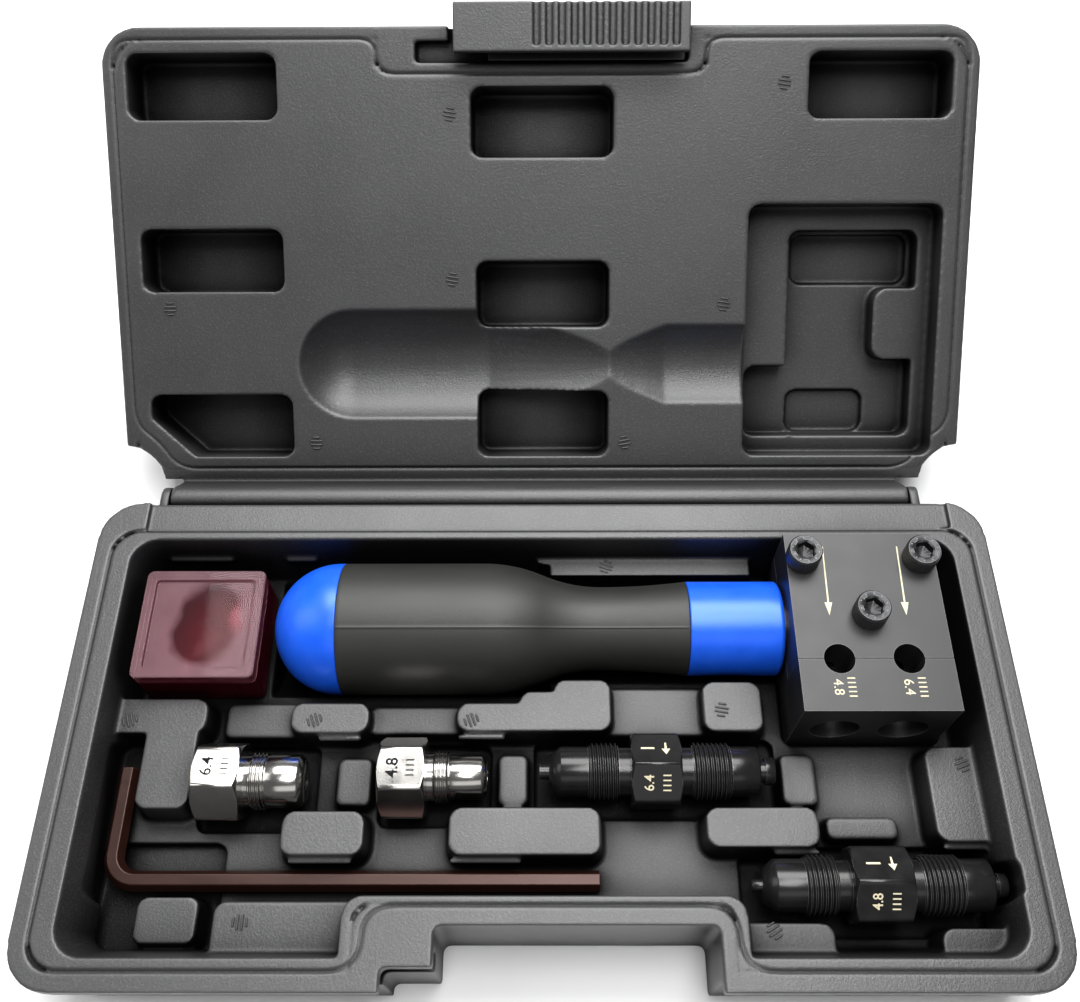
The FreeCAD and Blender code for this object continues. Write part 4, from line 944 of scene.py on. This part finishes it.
def tube(rings, name):
    """A closed tube: the last ring is joined back to the first."""
    count = len(rings[0])
    points = [tuple(p) for ring in rings for p in ring]
    faces = []
    for i in range(len(rings)):
        j = (i + 1) % len(rings)
        for k in range(count):
            n = (k + 1) % count
            faces.append((i * count + k, i * count + n, j * count + n, j * count + k))
    mesh = bpy.data.meshes.new(name)
    mesh.from_pydata(points, [], faces)
    bm = bmesh.new()
    bm.from_mesh(mesh)
    bmesh.ops.recalc_face_normals(bm, faces=bm.faces)
    bm.to_mesh(mesh)
    bm.free()
    mesh.shade_smooth()
    mesh.set_sharp_from_angle(angle=math.radians(32))
    return mesh


# ---------------------------------------------------------------- stops and punches

def turned_axis(node):
    """Left end, axis y and z of a piece lying along X, from its CAD box."""
    low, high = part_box(node)
    vertices = np.array([v.co for v in frame["nodes"][node].data.vertices])
    tip = vertices[vertices[:, 0] > high.x - 0.2 * MM]
    axis = (tip.min(0) + tip.max(0)) / 2
    return low.x, high.x, axis[1], axis[2]


def corner_angle(node, left, right, axis_y, axis_z):
    """The angle of a corner of the node's hexagon about its axis."""
    vertices = np.array([v.co for v in frame["nodes"][node].data.vertices])
    inside = vertices[(vertices[:, 0] > left) & (vertices[:, 0] < right)]
    radii = np.hypot(inside[:, 1] - axis_y, inside[:, 2] - axis_z)
    corner = inside[radii.argmax()]
    return math.atan2(corner[2] - axis_z, corner[1] - axis_y)


def make_stop(node, thread, pilot, material):
    """Depth stop with its hexagon, cut thread and polished pilot."""
    left, right, y, z = turned_axis(node)
    turn = corner_angle(node, left - MM, left + 14 * MM, y, z)
    ring = around_x(y, z, turn, 144)
    hexagon_end = left + 13 * MM
    neck = thread - 0.9 * MM
    rings = hex_section(ring, left, hexagon_end, 20 * MM, turn)
    rings += [ring(hexagon_end, neck), ring(hexagon_end + 2.0 * MM, neck)]
    rings += threaded(ring, hexagon_end + 2.2 * MM, hexagon_end + 6.4 * MM, thread, 0.55 * MM, 1.1 * MM)
    rings += [
        ring(hexagon_end + 6.5 * MM, pilot * 0.97),
        ring(hexagon_end + 7.1 * MM, pilot),
        ring(hexagon_end + 15.4 * MM, pilot),
        ring(hexagon_end + 15.8 * MM, pilot - 0.25 * MM),
        ring(right - 0.1 * MM, pilot - 1.35 * MM),
        ring(right, pilot - 1.5 * MM),
        ring(right, pilot * 0.35),
        ring(right - 4 * MM, pilot * 0.35),
    ]
    mesh = loft(rings, node, 50)
    return new_piece(node + "_turned", mesh, body_of(node), material, slot_of(node), (node,)), turn


def make_punch(node, nib, hexagon_length, material):
    """Double-ended flaring punch with its threads cut."""
    left, right, y, z = turned_axis(node)
    start = left + 25.7 * MM
    end = start + hexagon_length
    turn = corner_angle(node, start, end, y, z)
    ring = around_x(y, z, turn, 144)
    thread, pilot, relief = 7.95 * MM, 6.9 * MM, 6.6 * MM
    depth, pitch = 0.75 * MM, 1.3 * MM
    rings = [ring(left, nib * 0.8), ring(left + 0.3 * MM, nib), ring(left + 2.9 * MM, nib)]
    rings += [
        ring(left + 2.9 * MM, 4.2 * MM),
        ring(left + 5.8 * MM, 6.75 * MM),
        ring(left + 6.3 * MM, pilot),
        ring(left + 13.8 * MM, pilot),
    ]
    rings += threaded(ring, left + 14.0 * MM, left + 22.2 * MM, thread, depth, pitch)
    rings += [ring(left + 22.3 * MM, relief), ring(start, relief)]
    rings += hex_section(ring, start, end, 19 * MM, turn)
    rings += [ring(end, relief), ring(end + 3.3 * MM, relief)]
    rings += threaded(ring, end + 3.4 * MM, end + 14.0 * MM, thread, depth, pitch)
    rings += [
        ring(end + 14.1 * MM, pilot),
        ring(end + 21.4 * MM, pilot),
        ring(end + 22.0 * MM, pilot - 0.6 * MM),
        ring(end + 22.0 * MM, nib + 0.8 * MM),
        ring(end + 24.0 * MM, nib + 0.8 * MM),
        ring(end + 24.0 * MM, nib + 1.6 * MM),
        ring(right - 0.3 * MM, nib + 1.6 * MM),
        ring(right, nib + 1.3 * MM),
    ]
    mesh = loft(rings, node, 50)
    return new_piece(node + "_turned", mesh, body_of(node), material, slot_of(node), (node,)), turn


def facet(node, turn, number, x, flats):
    """Origin and axes of one flat of a hexagon lying along X; u runs along X and v round the hexagon."""
    _, _, y, z = turned_axis(node)
    middle = turn + math.radians(60 * number + 30)
    outward = Vector((0, math.cos(middle), math.sin(middle)))
    origin = Vector((x, y, z)) + outward * (flats / 2)
    around = Vector((0, -math.sin(middle), math.cos(middle)))
    return origin, Vector((1, 0, 0)), around


def mark_facet(node, turn, number, x, flats, text, size, ink, arrow, slot, label, weight=0.0):
    """Numerals that read along the facet, beside a row of ticks or an arrow."""
    origin, along, around = facet(node, turn, number, x, flats)
    if around.y < 0:
        around = -around
    _, matrix = on_plane(origin - along * 2.2 * MM, around, -along)
    numerals(f"{node}_numeral_{label}", text, size, 0.05 * MM, matrix, body_of(node), ink, slot, weight)
    place, _ = on_plane(origin + along * 2.6 * MM, around, -along)
    if arrow:
        marks = [arrow_outline((2.0 * MM, 0), (-2.2 * MM, 0), 0.32 * MM, 2.0 * MM, 1.2 * MM)]
    else:
        marks = tick_row(4, 1.4 * MM, 2.2 * MM, 0.38 * MM)
    flat_outline(f"{node}_mark_{label}", marks, 0.05 * MM, place, body_of(node), ink, slot)


# ---------------------------------------------------------------- lubricant box

def make_lube_box(clear, clear_lid, red):
    """Clear shells with rounded edges and the grease between them."""
    machined("lube_box_base", 0.45 * MM, clear)
    machined("lube_box_lid", 0.45 * MM, clear_lid)
    low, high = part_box("lubricant")
    centre, half = (low + high) / 2, (high - low) / 2
    count, rings = 96, []
    corner = 4.0

    def outline(scale, z):
        points = []
        for k in range(count):
            angle = 2 * math.pi * k / count
            c, s = math.cos(angle), math.sin(angle)
            u = math.copysign(abs(c) ** (2 / corner), c)
            v = math.copysign(abs(s) ** (2 / corner), s)
            x, y = centre.x + half.x * scale * u, centre.y + half.y * scale * v
            points.append((x, y, z(x, y)))
        return np.array(points)

    def crown(x, y):
        u, v = (x - centre.x) / half.x, (y - centre.y) / half.y
        swell = 0.5 + 0.5 * math.sin(2.2 * u + 0.6) * math.cos(1.9 * v - 0.4)
        return low.z + (high.z - low.z) * (0.62 + 0.38 * swell) - 0.05 * MM

    rings.append(outline(0.9, lambda x, y: low.z))
    rings.append(outline(0.985, lambda x, y: low.z + 0.5 * MM))
    rings.append(outline(1.0, lambda x, y: low.z + 1.5 * MM))
    rings.append(outline(1.0, lambda x, y: crown(x, y) - 1.2 * MM))
    rings.append(outline(0.985, lambda x, y: crown(x, y) - 0.4 * MM))
    for i in range(14):
        rings.append(outline(0.95 * (1 - i / 14), crown))
    mesh = loft(rings, "lubricant", 60)
    new_piece("lubricant_fill", mesh, body_of("lubricant"), red, slot_of("lubricant"), ("lubricant",))


# ---------------------------------------------------------------- stage, light, camera

def make_stage():
    """A plain pale floor and soft studio light."""
    mesh = bpy.data.meshes.new("floor")
    reach = 3.0
    mesh.from_pydata([(-reach, -reach, 0), (reach, -reach, 0), (reach, reach, 0), (-reach, reach, 0)], [],
                     [(0, 1, 2, 3)])
    floor = bpy.data.objects.new("floor", mesh)
    bpy.context.scene.collection.objects.link(floor)
    paper = Material("floor_paper", (0.86, 0.86, 0.86), 0.8)
    paper.bump(paper.noise(0.002, 3), 0.00002, 0.2)
    mesh.materials.append(paper.data)

    world = bpy.data.worlds.new("studio")
    bpy.context.scene.world = world
    world.use_nodes = True
    background = world.node_tree.nodes["Background"]
    background.inputs["Color"].default_value = (1, 1, 1, 1)
    background.inputs["Strength"].default_value = 0.15
    aim = Vector((0, 0.04, 0.02))
    lights = (
        ("back_softbox", (0.05, 0.62, 1.05), 1.0, 0.6, 22.0),
        ("left_softbox", (-0.85, 0.1, 0.7), 0.5, 0.8, 3.0),
        ("top_softbox", (0.1, 0.0, 1.2), 0.6, 0.4, 10.5),
        ("front_softbox", (0.1, -0.8, 0.75), 1.0, 0.4, 1.3),
    )
    for name, place, width, height, power in lights:
        light = bpy.data.lights.new(name, "AREA")
        light.shape = "RECTANGLE"
        light.size, light.size_y = width, height
        light.energy = power
        lamp = bpy.data.objects.new(name, light)
        lamp.location = place
        lamp.rotation_euler = (aim - Vector(place)).to_track_quat("-Z", "Y").to_euler()
        bpy.context.scene.collection.objects.link(lamp)
    settings = bpy.context.scene.view_settings
    settings.view_transform = "Standard"
    settings.look = "None"
    settings.exposure = 0.0


def make_camera():
    """The reference view: sixty degrees above the floor, a little to the right of the middle."""
    pitch, yaw, roll = math.radians(60.05), math.radians(-0.66), math.radians(-0.68)
    forward = Vector((math.sin(yaw) * math.cos(pitch), math.cos(yaw) * math.cos(pitch), -math.sin(pitch)))
    right = Vector((math.cos(yaw), -math.sin(yaw), 0))
    up = right.cross(forward)
    rolled_right = math.cos(roll) * right + math.sin(roll) * up
    rolled_up = -math.sin(roll) * right + math.cos(roll) * up
    matrix = Matrix((rolled_right, rolled_up, -forward)).transposed().to_4x4()
    matrix.translation = Vector((1.68, -102.38, 333.67)) * MM
    data = bpy.data.cameras.new("camera")
    data.sensor_width = 36.0
    data.lens = 37.23
    data.clip_start = 0.01
    camera = bpy.data.objects.new("camera", data)
    camera.matrix_world = matrix
    bpy.context.scene.collection.objects.link(camera)
    bpy.context.scene.camera = camera


# ---------------------------------------------------------------- build

def build():
    """Every piece, with its finish."""
    plastic, die, screw = case_plastic(), die_black(), screw_black()
    steel, bright, black = drawn_steel(), nickel(), punch_black()
    gold, ink = mark_ink("mark_gold", (0.75, 0.68, 0.48)), mark_ink("mark_dark", (0.012, 0.012, 0.012))
    make_case(plastic, Material("case_strokes", (0.03, 0.03, 0.032), 0.5).data)
    frame["nodes"]["hinge_pin"].data.materials.clear()
    frame["nodes"]["hinge_pin"].data.materials.append(steel)
    make_die(die, gold)
    for side in ("left", "right", "front"):
        make_screw("clamp_screw_" + side, screw)
    make_handle(handle_blue(), grip_rubber(), steel)
    for node, thread, pilot, text in (("stop_large", 7.95 * MM, 7.3 * MM, "6.4"),
                                      ("stop_small", 7.4 * MM, 6.1 * MM, "4.8")):
        _, turn = make_stop(node, thread, pilot, bright)
        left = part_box(node)[0].x
        number = best_facet(turn, 88)
        mark_facet(node, turn, number, left + 6.5 * MM, 20 * MM, text, 4.6 * MM, ink, False, None, "top",
                   0.05 * MM)
    for node, nib, length, text in (("punch_large", 2.2 * MM, 13.8 * MM, "6.4"),
                                    ("punch_small", 1.6 * MM, 15.6 * MM, "4.8")):
        _, turn = make_punch(node, nib, length, black)
        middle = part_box(node)[0].x + 25.7 * MM + length / 2
        upper, lower = best_facet(turn, 65), best_facet(turn, 125)
        mark_facet(node, turn, upper, middle, 19 * MM, "1", 5.4 * MM, gold, True, None, "upper",
                   0.03 * MM)
        mark_facet(node, turn, lower, middle, 19 * MM, text, 3.8 * MM, gold, False, None, "lower",
                   0.03 * MM)
    machined("hex_key", 0.3 * MM, key_bronze())
    shell = clear_plastic("clear_base", (0.62, 0.22, 0.26), (0.06, 0.004, 0.009), 0.5)
    cover = clear_plastic("clear_lid", (0.85, 0.62, 0.66), (0.2, 0.115, 0.13), 0.6,
                          ((-0.0985, 0.0305), (0.0105, 0.0135)))
    make_lube_box(shell, cover, grease())


def best_facet(turn, degrees):
    """The number of the facet whose middle is nearest an angle about X, from +Y towards +Z."""
    def away(number):
        middle = math.degrees(turn) + 60 * number + 30
        return abs((middle - degrees + 180) % 360 - 180)

    return min(range(6), key=away)


build()
make_stage()
make_camera()
